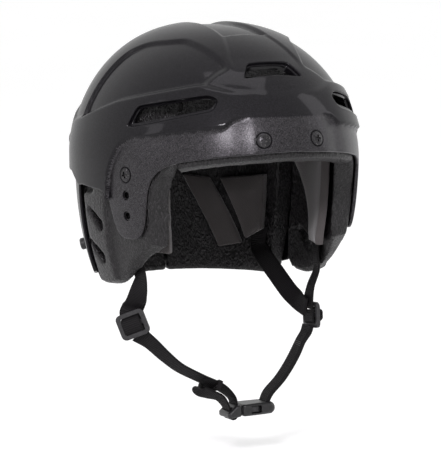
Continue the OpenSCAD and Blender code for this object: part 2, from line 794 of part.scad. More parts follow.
// Smooth run of points through the given ones, n steps to a stretch
function smooth_run(p, n) = let (last = len(p) - 1) concat(
    [for (k = [0:last - 1], s = [0:n - 1]) let (
            t = s / n,
            a = p[max(0, k - 1)],
            b = p[k],
            c = p[k + 1],
            d = p[min(last, k + 2)])
        0.5 * (2 * b + (c - a) * t + (2 * a - 5 * b + 4 * c - d) * t * t + (3 * b - a - 3 * c + d) * t * t * t)],
    [p[last]]);

// Flat webbing along a run of points; across holds the width directions at the given points
module webbing(points, across, layers = 1) {
    run = smooth_run(points, 3);
    wide = smooth_run(across, 3);
    last = len(run) - 1;
    rings = [for (k = [0:last]) let (
            t = unit(run[min(last, k + 1)] - run[max(0, k - 1)]),
            w = unit(wide[k] - t * (wide[k] * t)),
            f = cross(t, w))
        [for (c = [[1, 1], [-1, 1], [-1, -1], [1, -1]])
            run[k] + w * c[0] * web_w / 2 + f * c[1] * layers * web_t / 2]];
    polyhedron([for (r = rings) each r], concat(
        [for (k = [0:last - 1], c = [0:3])
            each halves([4 * k + c, 4 * k + 4 + c, 4 * k + 4 + (c + 1) % 4, 4 * k + (c + 1) % 4])],
        halves([0, 1, 2, 3]),
        halves([4 * last + 3, 4 * last + 2, 4 * last + 1, 4 * last])));
}

// Place under the ear flap: x as a share of the half width, z by the distance below the flap
function hang(x, y, below) = [x * half_w, y, -ear_drop - below];

// Frame of a strap slider: centre, outward face and tilt of its cross bars
right_slider_c = hang(-0.7091, -6, 30.5);
right_slider_n = [-0.6, -0.8, 0];
right_slider_tilt = 22;
left_slider_c = hang(0.68, -18, 30.4);
left_slider_n = [1, 0.05, 0];
left_slider_tilt = -4;

function slider_w_dir(n, tilt) = let (r = unit(cross([0, 0, 1], n))) r * cos(tilt) + [0, 0, 1] * sin(tilt);

function slider_up_dir(n, tilt) = cross(unit(n), slider_w_dir(n, tilt));

// Point of a slider: u along its length upwards, d outwards
function on_slider(c, n, tilt, u, d) = c + slider_up_dir(n, tilt) * u + unit(n) * d;

slot_mid = slider_bar / 2 + (slider_l / 2 - slider_rim - slider_bar / 2) / 2;
over_bar = slider_t / 2 + web_t / 2 + 0.4;

module strap_slider(c, n, tilt) {
    w = slider_w_dir(n, tilt);
    u = slider_up_dir(n, tilt);
    f = unit(n);
    multmatrix([[w.x, u.x, f.x, c.x], [w.y, u.y, f.y, c.y], [w.z, u.z, f.z, c.z], [0, 0, 0, 1]])
        translate([0, 0, -slider_t / 2])
            linear_extrude(slider_t)
                difference() {
                    offset(r = 4)
                        square([slider_w - 8, slider_l - 8], center = true);
                    for (side = [-1, 1])
                        translate([0, side * slot_mid])
                            square([web_w + 1.6, 2 * (slot_mid - slider_bar / 2)], center = true);
                }
}

module right_slider() color(buckle_colour) strap_slider(right_slider_c, right_slider_n, right_slider_tilt);

module left_slider() color(buckle_colour) strap_slider(left_slider_c, left_slider_n, left_slider_tilt);

// Webbing points on the inside of the side foam and of the nape foam
function on_side_foam(a, z) = at(a, z, side_in(a, z) - strap_gap - web_t / 2);

function on_nape_foam(a, z) = at(a, z, foam_in(a) - strap_gap - web_t / 2);

function mirror_x(p) = [-p.x, p.y, p.z];

side_start = [on_side_foam(strap_a, strap_z + 4), on_side_foam(strap_a, 28.5 - ear_drop),
    on_side_foam(strap_a - 1.5, 16.5 - ear_drop)];
nape_start = [on_nape_foam(stud_a, stud_z + 7), on_nape_foam(stud_a + 0.5, stud_z - 7)];

// Way of a front strap over a slider: behind its upper end, over the bar and behind its lower end
slot_out = slider_l / 2 - slider_rim;
function slider_way(c, n, tilt) = [for (p = [[slot_out + 3, -over_bar - 0.2], [slot_out - 0.3, -over_bar],
    [slot_mid, 0], [slider_bar / 2 + 0.6, over_bar], [0, over_bar + 0.4], [-slider_bar / 2 - 0.6, over_bar],
    [-slot_mid, 0.2]])
    on_slider(c, n, tilt, p.x, p.y)];

module left_front_strap() color(web_colour) {
    w = slider_w_dir(left_slider_n, left_slider_tilt);
    webbing(
        concat(side_start, [hang(0.7145, -19.5, -6.5), hang(0.6773, -17, 7.5)],
            slider_way(left_slider_c, left_slider_n, left_slider_tilt)),
        [[0.2, 0.98, 0], [0.2, 0.98, 0], [0.2, 0.98, 0], [0.2, 0.98, 0], [0.1, 1, 0], w, w, w, w, w, w, w]);
}

module right_front_strap() color(web_colour) {
    w = slider_w_dir(right_slider_n, right_slider_tilt);
    webbing(
        concat([for (p = side_start) mirror_x(p)],
            [hang(-0.7018, -20.3, -5.5), hang(-0.6964, -11, 8.5), hang(-0.7036, -3.4, 16.1)],
            slider_way(right_slider_c, right_slider_n, right_slider_tilt)),
        [[-0.2, 0.98, 0], [-0.2, 0.98, 0], [-0.2, 0.98, 0], [-0.25, 0.96, 0], [-0.7, 0.7, -0.1],
            [-0.74, 0.6, -0.3], -w, -w, -w, -w, -w, -w, -w]);
}

// The rear straps end on the front straps, behind the slider's upper end
strap_pile = over_bar + web_t + 3;
module left_rear_strap() color(web_colour) {
    webbing(
        concat(nape_start, [hang(0.5873, 49, -10.5), hang(0.6273, 34, 3.5), hang(0.6273, 16, 17), hang(0.6073, 0, 25),
            on_slider(left_slider_c, left_slider_n, left_slider_tilt, slot_out - 1, -strap_pile)]),
        [[-0.49, 0.87, 0], [-0.49, 0.87, -0.05], [-0.6, 0.5, -0.6], [-0.6, 0.4, -0.7], [-0.45, 0.45, -0.75],
            [-0.35, 0.4, -0.8], [-0.35, 0.2, -0.9]]);
}

module right_rear_strap() color(web_colour) {
    w = slider_w_dir(right_slider_n, right_slider_tilt);
    webbing(
        concat([for (p = nape_start) mirror_x(p)],
            [hang(-0.5764, 49.4, -9.5), hang(-0.6273, 30, 4.5), hang(-0.6409, 14, 14.5),
                on_slider(right_slider_c, right_slider_n, right_slider_tilt, slot_out - 1, -strap_pile)]),
        [[0.49, 0.87, 0], [0.49, 0.87, -0.05], [0.45, 0.6, -0.6], [0.05, 0.6, -0.8], [-0.4, 0.6, -0.65], -w]);
}

// Buckle: x runs from the plug to the socket's end bar, z is its thickness
buckle_c = hang(0.1755, -13.5, 103.9);
buckle_x = unit([52, -1.8, 1.6]);
buckle_y = unit(cross([0, 0.03, 1], buckle_x));
buckle_z = cross(buckle_x, buckle_y);

module in_buckle() {
    multmatrix([[buckle_x.x, buckle_y.x, buckle_z.x, buckle_c.x], [buckle_x.y, buckle_y.y, buckle_z.y, buckle_c.y],
        [buckle_x.z, buckle_y.z, buckle_z.z, buckle_c.z], [0, 0, 0, 1]])
        children();
}

function on_buckle(x, z) = buckle_c + buckle_x * x + buckle_z * z;

half_l = buckle_l / 2;
half_b = buckle_w / 2;
mouth_x = half_l - socket_l;
slot_w = web_w + 1.6;
end_bar = 4;
end_slot = 2 * web_t + 1;
cavity_end = half_l - end_bar - end_slot - 2;
cavity_half = half_b - socket_wall;
cavity_h = buckle_t - 2 * socket_wall;
prong_tip = cavity_end - 2.6;
window_from = mouth_x + 7.4;
corner_r = 3;
bevel = 1.2;

// Bevelled corner post of the buckle, from height low to high
module post(x, y, low, high) {
    translate([x, y, low + bevel])
        cylinder(h = high - low - 2 * bevel, r = corner_r, $fn = 24);
    translate([x, y, low])
        cylinder(h = high - low, r = corner_r - bevel, $fn = 24);
}

// Slot for the webbing, right through the buckle
module web_slot_cut(x, l) {
    translate([x, -slot_w / 2, -buckle_t])
        cube([l, slot_w, 2 * buckle_t]);
}

module buckle_socket() color(buckle_colour) in_buckle() difference() {
    hull()
        for (side = [-1, 1]) {
            post(mouth_x + corner_r, side * (half_b - corner_r), -buckle_t / 2, buckle_t / 2);
            translate([half_l - buckle_t / 2 - 0.4, side * (half_b - buckle_t / 2), 0])
                sphere(r = buckle_t / 2 + 0.4, $fn = 24);
        }
    translate([mouth_x - 1, -cavity_half, -cavity_h / 2])
        cube([cavity_end - mouth_x + 1, 2 * cavity_half, cavity_h]);
    translate([window_from, -buckle_w, -cavity_h / 2])
        cube([prong_tip - 0.4 - window_from, 2 * buckle_w, cavity_h]);
    web_slot_cut(half_l - end_bar - end_slot, end_slot);
}

hinge_x = mouth_x + 2.3;
hinge_y = cavity_half - 3.4;
hinge_r = 1.3;
neck_l = 4.8;
ladder_slot = 3;
ladder_bar = 2.6;
ladder_x = 2 - half_l;

module buckle_plug() color(buckle_colour) in_buckle() difference() {
    union() {
        hull()
            for (side = [-1, 1]) {
                post(mouth_x - fit - corner_r, side * (half_b - corner_r), -buckle_t / 2, buckle_t / 2);
                post(corner_r - half_l, side * (half_b - corner_r), -buckle_t / 2 - 0.6, -0.2);
            }
        translate([mouth_x - 2, -cavity_half + fit, fit - cavity_h / 2])
            cube([neck_l + 2, 2 * (cavity_half - fit), cavity_h - 2 * fit]);
        translate([mouth_x, -2, 1 - cavity_h / 2])
            cube([prong_tip - mouth_x, 4, cavity_h - 2]);
    }
    for (k = [0, 1])
        web_slot_cut(ladder_x + k * (ladder_slot + ladder_bar), ladder_slot);
    for (side = [-1, 1])
        translate([hinge_x, side * hinge_y, -cavity_h]) {
            cylinder(h = 2 * cavity_h, r = hinge_r + fit, $fn = 32);
            translate([0, -hinge_r - fit, 0])
                cube([neck_l, 2 * (hinge_r + fit), 2 * cavity_h]);
        }
}

// One spring arm of the plug with its thumb rest at the side window
module prong(side) {
    thick = cavity_h - 2 * fit - 0.2;
    arm = [[hinge_x, hinge_y - 0.9], [window_from, hinge_y - 0.5], [prong_tip - 2, hinge_y],
        [prong_tip, hinge_y + 1], [prong_tip, hinge_y + 1.8], [prong_tip - 2.4, cavity_half - 0.5],
        [window_from + 1, cavity_half - 0.4], [window_from, cavity_half - 1.4], [window_from - 1.4, hinge_y + 1],
        [hinge_x, hinge_y + 0.9]];
    translate([0, 0, -thick / 2]) {
        translate([hinge_x, side * hinge_y, 0])
            cylinder(h = thick, r = hinge_r, $fn = 32);
        linear_extrude(thick)
            polygon([for (p = arm) [p.x, side * p.y]]);
    }
}

module front_prong() color(buckle_colour) in_buckle() prong(-1);

module back_prong() color(buckle_colour) in_buckle() prong(1);

// Two sewn layers from the left slider down into the socket's end slot
module left_chin_strap() color(web_colour) {
    w = slider_w_dir(left_slider_n, left_slider_tilt);
    webbing(
        [on_slider(left_slider_c, left_slider_n, left_slider_tilt, 2 - slider_l / 2, -over_bar - 0.9),
            hang(0.6318, -18.6, 44.5), hang(0.5909, -18, 51.5), hang(0.5482, -17.5, 61.1), hang(0.4936, -17, 71.3),
            hang(0.4273, -16, 81.7), hang(0.3409, -14.8, 92), on_buckle(half_l - end_bar - end_slot / 2, buckle_t / 2 - 1)],
        [w, w, [0.05, 1, 0], [0, 1, 0], [0, 1, 0], [0, 1, 0], [0, 1, 0], buckle_y], 2);
}

ladder_in = ladder_x + ladder_slot + ladder_bar + ladder_slot / 2;
ladder_out = ladder_x + ladder_slot / 2;

// From the right slider down to the plug's ladder
module right_chin_strap() color(web_colour) {
    w = -slider_w_dir(right_slider_n, right_slider_tilt);
    webbing(
        [on_slider(right_slider_c, right_slider_n, right_slider_tilt, 2 - slider_l / 2, -over_bar - 1.3),
            hang(-0.5773, -8, 46), hang(-0.4609, -9, 58), hang(-0.3527, -10, 67.5), buckle_c + [-40.9, 2.5, 27.2],
            buckle_c + [-23.6, 1.5, 18.7], buckle_c + [-13.9, 0.7, 10], on_buckle(ladder_in, buckle_t / 2 - 1.6)],
        [w, [-0.35, 0.85, -0.4], [-0.1, 0.9, -0.4], [0, 0.9, -0.4], [0, 0.95, -0.3], [0, 0.95, -0.3],
            [0, 1, -0.1], buckle_y]);
}

// The spare end: under the ladder's bar, up, out in a long fold and back under the chin strap
module strap_tail() color(web_colour)
    webbing(
        [on_buckle(ladder_in, 0.6), on_buckle(ladder_in - 0.3, -buckle_t / 2),
            on_buckle(ladder_in - 2.6, -buckle_t / 2 - 1.8),
            on_buckle(ladder_out + 0.4, -buckle_t / 2 - 0.8), on_buckle(ladder_out, 0.5),
            buckle_c + [-23.9, 0.7, 9.6], buckle_c + [-33.4, 1.1, 13.8], buckle_c + [-39.8, 1.2, 16.6],
            buckle_c + [-42.9, 1.2, 19.8], buckle_c + [-39.8, 1.2, 22.4], buckle_c + [-33.4, 1.2, 21.1], buckle_c + [-26.7, 1.2, 17.5]],
        [buckle_y, buckle_y, buckle_y, buckle_y, buckle_y, [0, 1, -0.1], [0, 0.97, -0.2], [0, 0.95, -0.3],
            [0, 0.95, -0.3], [0, 0.95, -0.3], [0, 0.95, -0.3], [0, 0.95, -0.3]]);

// Narrow ring that holds the spare end under the chin strap
keeper_wall = 0.9;
keeper_w = web_w + 1.4;
keeper_h = 2 * web_t + 2.4;
module tail_keeper() color(web_colour)
    translate(buckle_c + [-28.9, 1.3, 20])
        rotate([-17.5, 27, 0])
            difference() {
                cube([4, keeper_w + 2 * keeper_wall, keeper_h + 2 * keeper_wall], center = true);
                cube([6, keeper_w, keeper_h], center = true);
            }

front_shell();
rear_shell();
brow_liner();
crown_liner();
right_side_liner();
left_side_liner();
right_rear_liner();
left_rear_liner();
brow_pad();
crown_pad();
right_temple_pad();
left_temple_pad();
right_outer_rear_pad();
left_outer_rear_pad();
right_inner_rear_pad();
left_inner_rear_pad();
front_screws();
front_tee_nuts();
temple_screws();
temple_tee_nuts();
size_screws();
size_tee_nuts();
front_strap_anchors();
rear_strap_anchors();
rear_strap_studs();
right_front_strap();
left_front_strap();
right_rear_strap();
left_rear_strap();
right_slider();
left_slider();
right_chin_strap();
left_chin_strap();
strap_tail();
tail_keeper();
buckle_socket();
buckle_plug();
front_prong();
back_prong();
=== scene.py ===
"""Looks of the multi-sport helmet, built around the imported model.

The wearer's front is -Y, the wearer's left is +X and up is +Z.
Lengths are in millimetres until a mesh is made.
Places on the dome are an angle from the front in degrees and a height, as in the part's source.
"""
import json
import math

import bmesh
import bpy
import numpy as np
from mathutils import Matrix, Vector

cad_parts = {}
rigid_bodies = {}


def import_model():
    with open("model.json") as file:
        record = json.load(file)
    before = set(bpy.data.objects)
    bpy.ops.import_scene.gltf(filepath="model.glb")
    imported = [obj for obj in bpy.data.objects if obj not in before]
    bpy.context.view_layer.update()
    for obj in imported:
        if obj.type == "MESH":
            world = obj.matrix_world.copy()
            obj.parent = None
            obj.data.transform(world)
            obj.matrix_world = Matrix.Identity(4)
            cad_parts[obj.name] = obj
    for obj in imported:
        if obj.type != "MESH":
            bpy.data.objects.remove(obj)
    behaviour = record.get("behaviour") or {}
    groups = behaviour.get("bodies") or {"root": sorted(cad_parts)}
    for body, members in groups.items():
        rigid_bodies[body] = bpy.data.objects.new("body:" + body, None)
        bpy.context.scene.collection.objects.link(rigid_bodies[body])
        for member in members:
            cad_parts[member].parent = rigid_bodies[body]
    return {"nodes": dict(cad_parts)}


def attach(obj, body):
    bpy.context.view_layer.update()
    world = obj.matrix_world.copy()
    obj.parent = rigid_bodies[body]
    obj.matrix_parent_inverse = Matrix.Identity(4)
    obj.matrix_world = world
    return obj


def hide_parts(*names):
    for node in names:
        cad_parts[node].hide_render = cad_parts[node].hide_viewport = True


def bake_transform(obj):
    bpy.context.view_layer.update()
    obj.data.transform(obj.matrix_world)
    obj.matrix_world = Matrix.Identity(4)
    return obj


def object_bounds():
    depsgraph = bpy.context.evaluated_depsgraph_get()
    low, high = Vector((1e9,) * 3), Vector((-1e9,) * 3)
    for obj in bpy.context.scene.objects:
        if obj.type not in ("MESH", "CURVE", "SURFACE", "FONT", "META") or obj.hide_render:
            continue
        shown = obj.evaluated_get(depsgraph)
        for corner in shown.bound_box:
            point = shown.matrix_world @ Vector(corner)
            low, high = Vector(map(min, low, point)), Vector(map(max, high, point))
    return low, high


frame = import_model()
cad_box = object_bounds()
MM = 0.001


def show(name, data):
    """New object in the scene."""
    obj = bpy.data.objects.new(name, data)
    bpy.context.scene.collection.objects.link(obj)
    return obj


# Camera: turn to the wearer's right, rise over the horizon, distance and scale at the origin
VIEW_TURN, VIEW_RISE = 25.35, 5.08
VIEW_FAR = 2400
MM_PER_PIXEL = 0.80
IMAGE_SIZE = (441, 460)
ORIGIN_PIXEL = (218.5, 140.4)


def add_camera():
    """Puts the camera where the photograph was taken from."""
    turn, rise = math.radians(VIEW_TURN), math.radians(VIEW_RISE)
    back = Vector((-math.sin(turn) * math.cos(rise), -math.cos(turn) * math.cos(rise), math.sin(rise)))
    right = Vector((math.cos(turn), -math.sin(turn), 0))
    up = back.cross(right)
    aim = right * (IMAGE_SIZE[0] / 2 - ORIGIN_PIXEL[0]) - up * (IMAGE_SIZE[1] / 2 - ORIGIN_PIXEL[1])
    place = back * VIEW_FAR * MM
    data = bpy.data.cameras.new("camera")
    data.sensor_fit = "HORIZONTAL"
    data.sensor_width = 36
    data.lens = data.sensor_width * VIEW_FAR / (IMAGE_SIZE[0] * MM_PER_PIXEL)
    data.clip_end = 100
    camera = show("camera", data)
    camera.location = place
    camera.rotation_euler = (place - aim * MM_PER_PIXEL * MM).to_track_quat("Z", "Y").to_euler()
    bpy.context.scene.camera = camera


# Dome
HALF_W, FRONT_LEN, BACK_LEN, POLE_Y = 110, 146, 125, 12
BELT_Z, CROWN_H = -9.6, 104.2
CROWN_SQUARE, CROWN_START = 2.42, 1.82
SIDE_CLOSE, SIDE_POWER = 170, 2.3
# Shells, liners and clearances
FRONT_WALL, REAR_WALL, FOAM, FIT, FACET_ROOM = 3, 2.8, 15.5, 0.35, 0.45
BROW_ARCH, TAB_DROP, CUTOUT_DROP, BACK_EDGE = 2, 70.5, 33, 54
BAND_OUT, PANEL_IN, SIDE_SINK, CHANNEL_SINK, CHANNEL_HALF = 2.2, 3.6, 2.4, 2.8, 17
SKIN_OUT, FLARE, FLAP_THIN = 0.3, 2.4, 3
REAR_DROP, LAP, EAR_DROP = 113, 21, 112.5


def ease(x, a, b):
    t = np.clip((x - a) / (b - a), 0, 1)
    return t * t * (3 - 2 * t)


def mix(a, b, t):
    return a + (b - a) * t


def unit(v):
    return v / np.maximum(np.linalg.norm(v, axis=-1, keepdims=True), 1e-9)


def fold(a):
    """Angle from the front, the same on both sides."""
    t = np.mod(a, 360.0)
    return np.where(t > 180, 360 - t, t)


def plan_r(a, d=0):
    t = np.radians(a)
    reach = np.where(np.cos(t) > 0, FRONT_LEN, BACK_LEN) + d
    return 1 / np.sqrt((np.sin(t) / (HALF_W + d)) ** 2 + (np.cos(t) / reach) ** 2)


def fall(z):
    """Share of the dome's plan that is left at a height."""
    up = np.clip((z - BELT_Z) / CROWN_H, 0, 1)
    down = np.clip((BELT_Z - z) / SIDE_CLOSE, 0, 1)
    crown = (1 - up**CROWN_START) ** (1 / CROWN_SQUARE)
    return np.where(z > BELT_Z, crown, (1 - down**SIDE_POWER) ** (1 / SIDE_POWER))


def at(a, z, d=0.0):
    """Point of the dome at angle a and height z, moved out by d."""
    a, z, d = np.broadcast_arrays(np.asarray(a, float), np.asarray(z, float), np.asarray(d, float))
    r = plan_r(a, d) * fall(z)
    h = np.where(z > BELT_Z, z + d * (z - BELT_Z) / CROWN_H, z)
    t = np.radians(a)
    return np.stack([r * np.sin(t), POLE_Y - r * np.cos(t), h], -1)


def out_dir(a, z):
    """Outward direction of the dome."""
    z = np.minimum(np.asarray(z, float), BELT_Z + CROWN_H - 0.6)
    return unit(np.cross(at(a + 0.5, z) - at(a - 0.5, z), at(a, z + 0.5) - at(a, z - 0.5)))


def line(points, soften, step=0.1):
    """Value along a run of points, with its corners softened over that width."""
    points = np.array(points, float)
    x = np.arange(points[0, 0], points[-1, 0] + step / 2, step)
    y = np.interp(x, points[:, 0], points[:, 1])
    reach = int(3 * soften / step)
    k = np.exp(-0.5 * (np.arange(-reach, reach + 1) * step / soften) ** 2)
    y = np.convolve(np.pad(y, reach, mode="reflect", reflect_type="even"), k / k.sum(), mode="valid")
    return lambda v: np.interp(v, x, y)


# Lower edge of the front shell by folded angle
edge_of = line([(0, BROW_ARCH), (10, BROW_ARCH - 1.2), (20, BROW_ARCH - 3.4), (26, -3.2), (31, -5),
                (37, -7.4), (42, -11), (46, -16), (49, -22.5), (50.8, -31), (51.6, -40),
                (51.8, 20.5 - TAB_DROP), (52.6, 12 - TAB_DROP), (54.2, 5 - TAB_DROP),
                (56.6, 1 - TAB_DROP), (60, -TAB_DROP),
                (64, 0.4 - TAB_DROP), (67.4, 4 - TAB_DROP), (69.4, 12 - TAB_DROP), (71, 23 - TAB_DROP),
                (73, -2.5 - CUTOUT_DROP), (76, -0.5 - CUTOUT_DROP), (82, -CUTOUT_DROP), (92, 1 - CUTOUT_DROP),
                (97, -CUTOUT_DROP), (101, 4 - CUTOUT_DROP), (107, 9 - CUTOUT_DROP), (116, 9 - CUTOUT_DROP),
                (123, 14 - CUTOUT_DROP), (132, BACK_EDGE - 57), (141, BACK_EDGE - 36), (150, BACK_EDGE - 17),
                (162, BACK_EDGE - 3), (180, BACK_EDGE)], 0.55)
# Undercut between the brow panel and the side band, and the crease over the band
step_of = line([(0, 27), (14, 28), (18, 26), (21.5, 19.5), (43, 12.5), (58, 8.5), (64, 3), (68, -8), (71, -20),
                (73, -60), (75, -200), (180, -200)], 0.5)
crease_of = line([(0, 45.6), (18, 46), (25, 49), (30, 51.4), (48, 45), (70, 37), (101, 20), (118, 15),
                  (132, 30), (150, 60), (180, 74)], 1.5)
# Edges of the crown ridges by distance behind the origin
CHANNEL_FRONT_Y, RECESS_FRONT_Y = -47, -84
ridge_outer = line([(RECESS_FRONT_Y, 31), (-55, 38), (-33, 43), (-20, 52), (0, 61), (15, 71), (24, 88),
                    (34, 110), (44, 150)], 2.5)
ridge_inner = line([(RECESS_FRONT_Y, CHANNEL_HALF + 14), (CHANNEL_FRONT_Y, CHANNEL_HALF + 3),
                    (0, CHANNEL_HALF), (110, CHANNEL_HALF - 2)], 3)


def edge_z(a):
    return edge_of(fold(a))


def relief(a, z):
    """How far the front shell stands off the plain dome."""
    b = fold(a)
    p = at(a, z)
    x, y = np.abs(p[..., 0]), p[..., 1]
    band = ease(crease_of(b) - z, -2.5, 2.5) * mix(0.15, 1, ease(b, 10, 26)) * (1 - ease(b, 124, 138))
    panel = ease(step_of(b) - z, -1.6, 1.6) * ease(b, 11, 20)
    sunk = ease(z - crease_of(b), -2.5, 2.5) * ease(x - ridge_outer(y), 0, 4)
    sunk = sunk * ease(y, RECESS_FRONT_Y - 4, RECESS_FRONT_Y + 2)
    inner = 1 - ease(x - ridge_inner(y), -4, 1)
    channel = inner * ease(y, CHANNEL_FRONT_Y - 3, CHANNEL_FRONT_Y + 3) * (1 - ease(y, 84, 100))
    facet = inner * ease(z, 60, 72) * 0.4
    sunk = SIDE_SINK * sunk + CHANNEL_SINK * np.maximum(channel, facet)
    return BAND_OUT * band - PANEL_IN * panel - sunk + SKIN_OUT


def lowest(a, z):
    """Lowest relief close to a point, so that nothing under the shell reaches into its steps."""
    return np.min([relief(a + da, z + dz) for da, dz in ((0, 0), (0, 8), (0, -8), (4, 0), (-4, 0))], axis=0)


def under(a, z):
    """Highest face of what lies under the front shell."""
    return lowest(a, z) - FRONT_WALL - FIT - FACET_ROOM


def rear_out(a, z):
    """Outer face of the rear shell."""
    b = fold(a)
    inside = np.min([under(b - k, z) for k in (0, 4, 8)], axis=0)
    return inside - 2 * FACET_ROOM + FLARE * ease(edge_z(a) - 5 - z, 0, 9) * ease(b, 126, 140)


def rear_foam_out(a, z):
    return rear_out(a, z) - REAR_WALL - FIT - FACET_ROOM - 0.2


def foam_in(a):
    """Inner face of the foam, a smooth dome of its own."""
    return -5.5 - FOAM - 2.7 * ease(fold(a), 100, 118)


def side_out(a, z):
    """Outer face of a side liner, sunk under the rear shell's way and flush again on the ear flap."""
    b = fold(a)
    sink = mix(ease(b, 85, 92), ease(b, 96.5, 99.5), ease(-z, 36, 40))
    return under(a, z) - 0.3 - (REAR_WALL + 4) * sink


def side_in(a, z):
    return foam_in(a) + FLAP_THIN * ease(-z, 70, 100)


def climb(low, high, share):
    """Heights from low to high, closer together towards the pole of the crown."""
    turn = [np.arcsin(np.clip((z - BELT_Z) / CROWN_H, -1, 1)) for z in (low, high)]
    return BELT_Z + CROWN_H * np.sin(mix(*turn, share))


# Meshes
def add_mesh(name, points, faces, materials, indices=None, uv=None):
    """New object from points in millimetres, smooth all over."""
    data = bpy.data.meshes.new(name)
    data.from_pydata((np.asarray(points) * MM).tolist(), [], [[int(i) for i in f] for f in faces])
    for m in materials:
        data.materials.append(m)
    if indices is not None:
        data.polygons.foreach_set("material_index", np.asarray(indices, np.int32))
    if uv is not None:
        layer = data.uv_layers.new(name="UVMap")
        loops = np.zeros(len(data.loops), np.int32)
        data.loops.foreach_get("vertex_index", loops)
        layer.data.foreach_set("uv", np.asarray(uv, np.float32)[loops].ravel())
    smooth(data)
    return show(name, data)


def smooth(data):
    data.polygons.foreach_set("use_smooth", np.ones(len(data.polygons), bool))
    data.update()


def edit_mesh(obj, work):
    """Runs work on the object's mesh."""
    b = bmesh.new()
    b.from_mesh(obj.data)
    work(b)
    b.to_mesh(obj.data)
    b.free()
    obj.data.update()


def weld(obj, gap=0.02):
    """Joins points that lie on each other."""
    edit_mesh(obj, lambda b: bmesh.ops.remove_doubles(b, verts=b.verts, dist=gap * MM))


def bake_modifiers(obj):
    """Turns the object's modifiers into its mesh."""
    seen = obj.evaluated_get(bpy.context.evaluated_depsgraph_get())
    data, old = bpy.data.meshes.new_from_object(seen), obj.data
    obj.modifiers.clear()
    obj.data = data
    bpy.data.meshes.remove(old)
    smooth(data)


def sharpen(obj, degrees):
    """Keeps edges over that angle crisp."""
    obj.data.set_sharp_from_angle(angle=math.radians(degrees))


SPLIT_STEPS = 14


class Skin:
    """Triangle sheet on the dome. Its points are angle and height pairs until they are placed."""

    def __init__(self, angles, low, high, rows):
        angles = np.asarray(angles, float)
        heights = climb(low(angles), high(angles), np.linspace(0, 1, rows)[:, None])
        self.points = np.stack([np.broadcast_to(angles, heights.shape), heights], -1).reshape(-1, 2)
        i = np.arange(heights.size).reshape(heights.shape)
        a, b, c, d = i[:-1, :-1].ravel(), i[:-1, 1:].ravel(), i[1:, 1:].ravel(), i[1:, :-1].ravel()
        self.faces = np.concatenate([np.stack([a, b, c], 1), np.stack([a, c, d], 1)])

    def trim(self, height):
        """Keeps the side where height(angle, z) is above 0. Returns the chains of new edge points."""
        h = height(*self.points.T)
        inside = h > 0
        count = inside[self.faces].sum(1)
        split = self.faces[(count == 1) | (count == 2)]
        whole = self.faces[count == 3]
        if not len(split):
            self.faces = whole
            return []
        one_in = inside[split].sum(1) == 1
        lone = np.where(one_in, inside[split].argmax(1), (~inside[split]).argmax(1))
        tri = np.stack([np.take_along_axis(split, ((lone + k) % 3)[:, None], 1)[:, 0] for k in range(3)], 1)
        pairs = np.sort(np.concatenate([tri[:, :2], tri[:, ::2]]), 1)
        pairs, back = np.unique(pairs, axis=0, return_inverse=True)
        p, q = self.points[pairs[:, 0]], self.points[pairs[:, 1]]
        lo, hi = np.zeros(len(p)), np.ones(len(p))
        for _ in range(SPLIT_STEPS):
            half = (lo + hi) / 2
            same = (height(*(p + (q - p) * half[:, None]).T) > 0) == (h[pairs[:, 0]] > 0)
            lo, hi = np.where(same, half, lo), np.where(same, hi, half)
        m1, m2 = (len(self.points) + back.ravel()).reshape(2, -1)
        self.points = np.concatenate([self.points, p + (q - p) * ((lo + hi) / 2)[:, None]])
        t0, t1, t2 = tri.T
        i, o = one_in, ~one_in
        self.faces = np.concatenate([whole, np.stack([t0, m1, m2], 1)[i], np.stack([m1, t1, t2], 1)[o],
                                     np.stack([m1, t2, m2], 1)[o]])
        starts, ends = np.concatenate([m1[i], m2[o]]), np.concatenate([m2[i], m1[o]])
        return chains(dict(zip(starts.tolist(), ends.tolist())))


def chains(follow):
    """Runs of points from a map of each point to the next one, closed runs marked."""
    heads = set(follow) - set(follow.values())
    found = []
    while follow:
        run = [heads.pop() if heads else next(iter(follow))]
        while run[-1] in follow:
            run.append(follow.pop(run[-1]))
        closed = run[0] == run[-1]
        found.append((run[:-1] if closed else run, closed))
    return found


def strip(rows, count, closed=True):
    """Quads between rows of points, each row with that many."""
    pairs = [(k, (k + 1) % count) for k in range(count if closed else count - 1)]
    return [(r * count + k, r * count + n, (r + 1) * count + n, (r + 1) * count + k)
            for r in range(rows - 1) for k, n in pairs]


class Build:
    """Points and faces of one piece, gathered part by part."""

    def __init__(self):
        self.points, self.faces, self.slots, self.count = [], [], [], 0

    def add(self, points, faces, slot=0):
        self.points.append(np.asarray(points, float))
        self.faces += [tuple(int(i) + self.count for i in f) for f in faces]
        self.slots += list(slot) if np.ndim(slot) else [slot] * len(faces)
        self.count += len(points)

    def rings(self, rings, closed, slot=0):
        """Strip of quads through rings of equal length."""
        rings = np.asarray(rings)
        self.add(rings.reshape(-1, 3), [f[::-1] for f in strip(*rings.shape[:2], closed)], slot)

    def finish(self, name, materials):
        obj = add_mesh(name, np.concatenate(self.points), self.faces, materials, self.slots)
        weld(obj)
        return obj


def along(points, closed):
    """Direction along a run of points."""
    return unit(np.roll(points, -1, 0) - np.roll(points, 1, 0) if closed else np.gradient(points, axis=0))


ROLL, ROLL_STEPS, ROLL_BEHIND = 0.9, 6, 4


def rolled_rings(points, normals, closed, wall):
    """Rings of a wall's rolled edge, past the sheet's edge, then in behind it."""
    off = unit(np.cross(along(points, closed), normals))
    for _ in range(2 if closed else 0):
        off = unit(off + np.roll(off, 1, 0) + np.roll(off, -1, 0))
    turns = np.linspace(0, math.pi, ROLL_STEPS + 1)
    profile = [(ROLL * math.sin(t), wall / 2 * (math.cos(t) - 1)) for t in turns] + [(-ROLL_BEHIND, -wall)]
    return [points + off * m + normals * n for m, n in profile]


# Depth below an opening from which the dome's far side counts, and how far off that side is said to be
NEAR, FAR_OUT = -30, 50


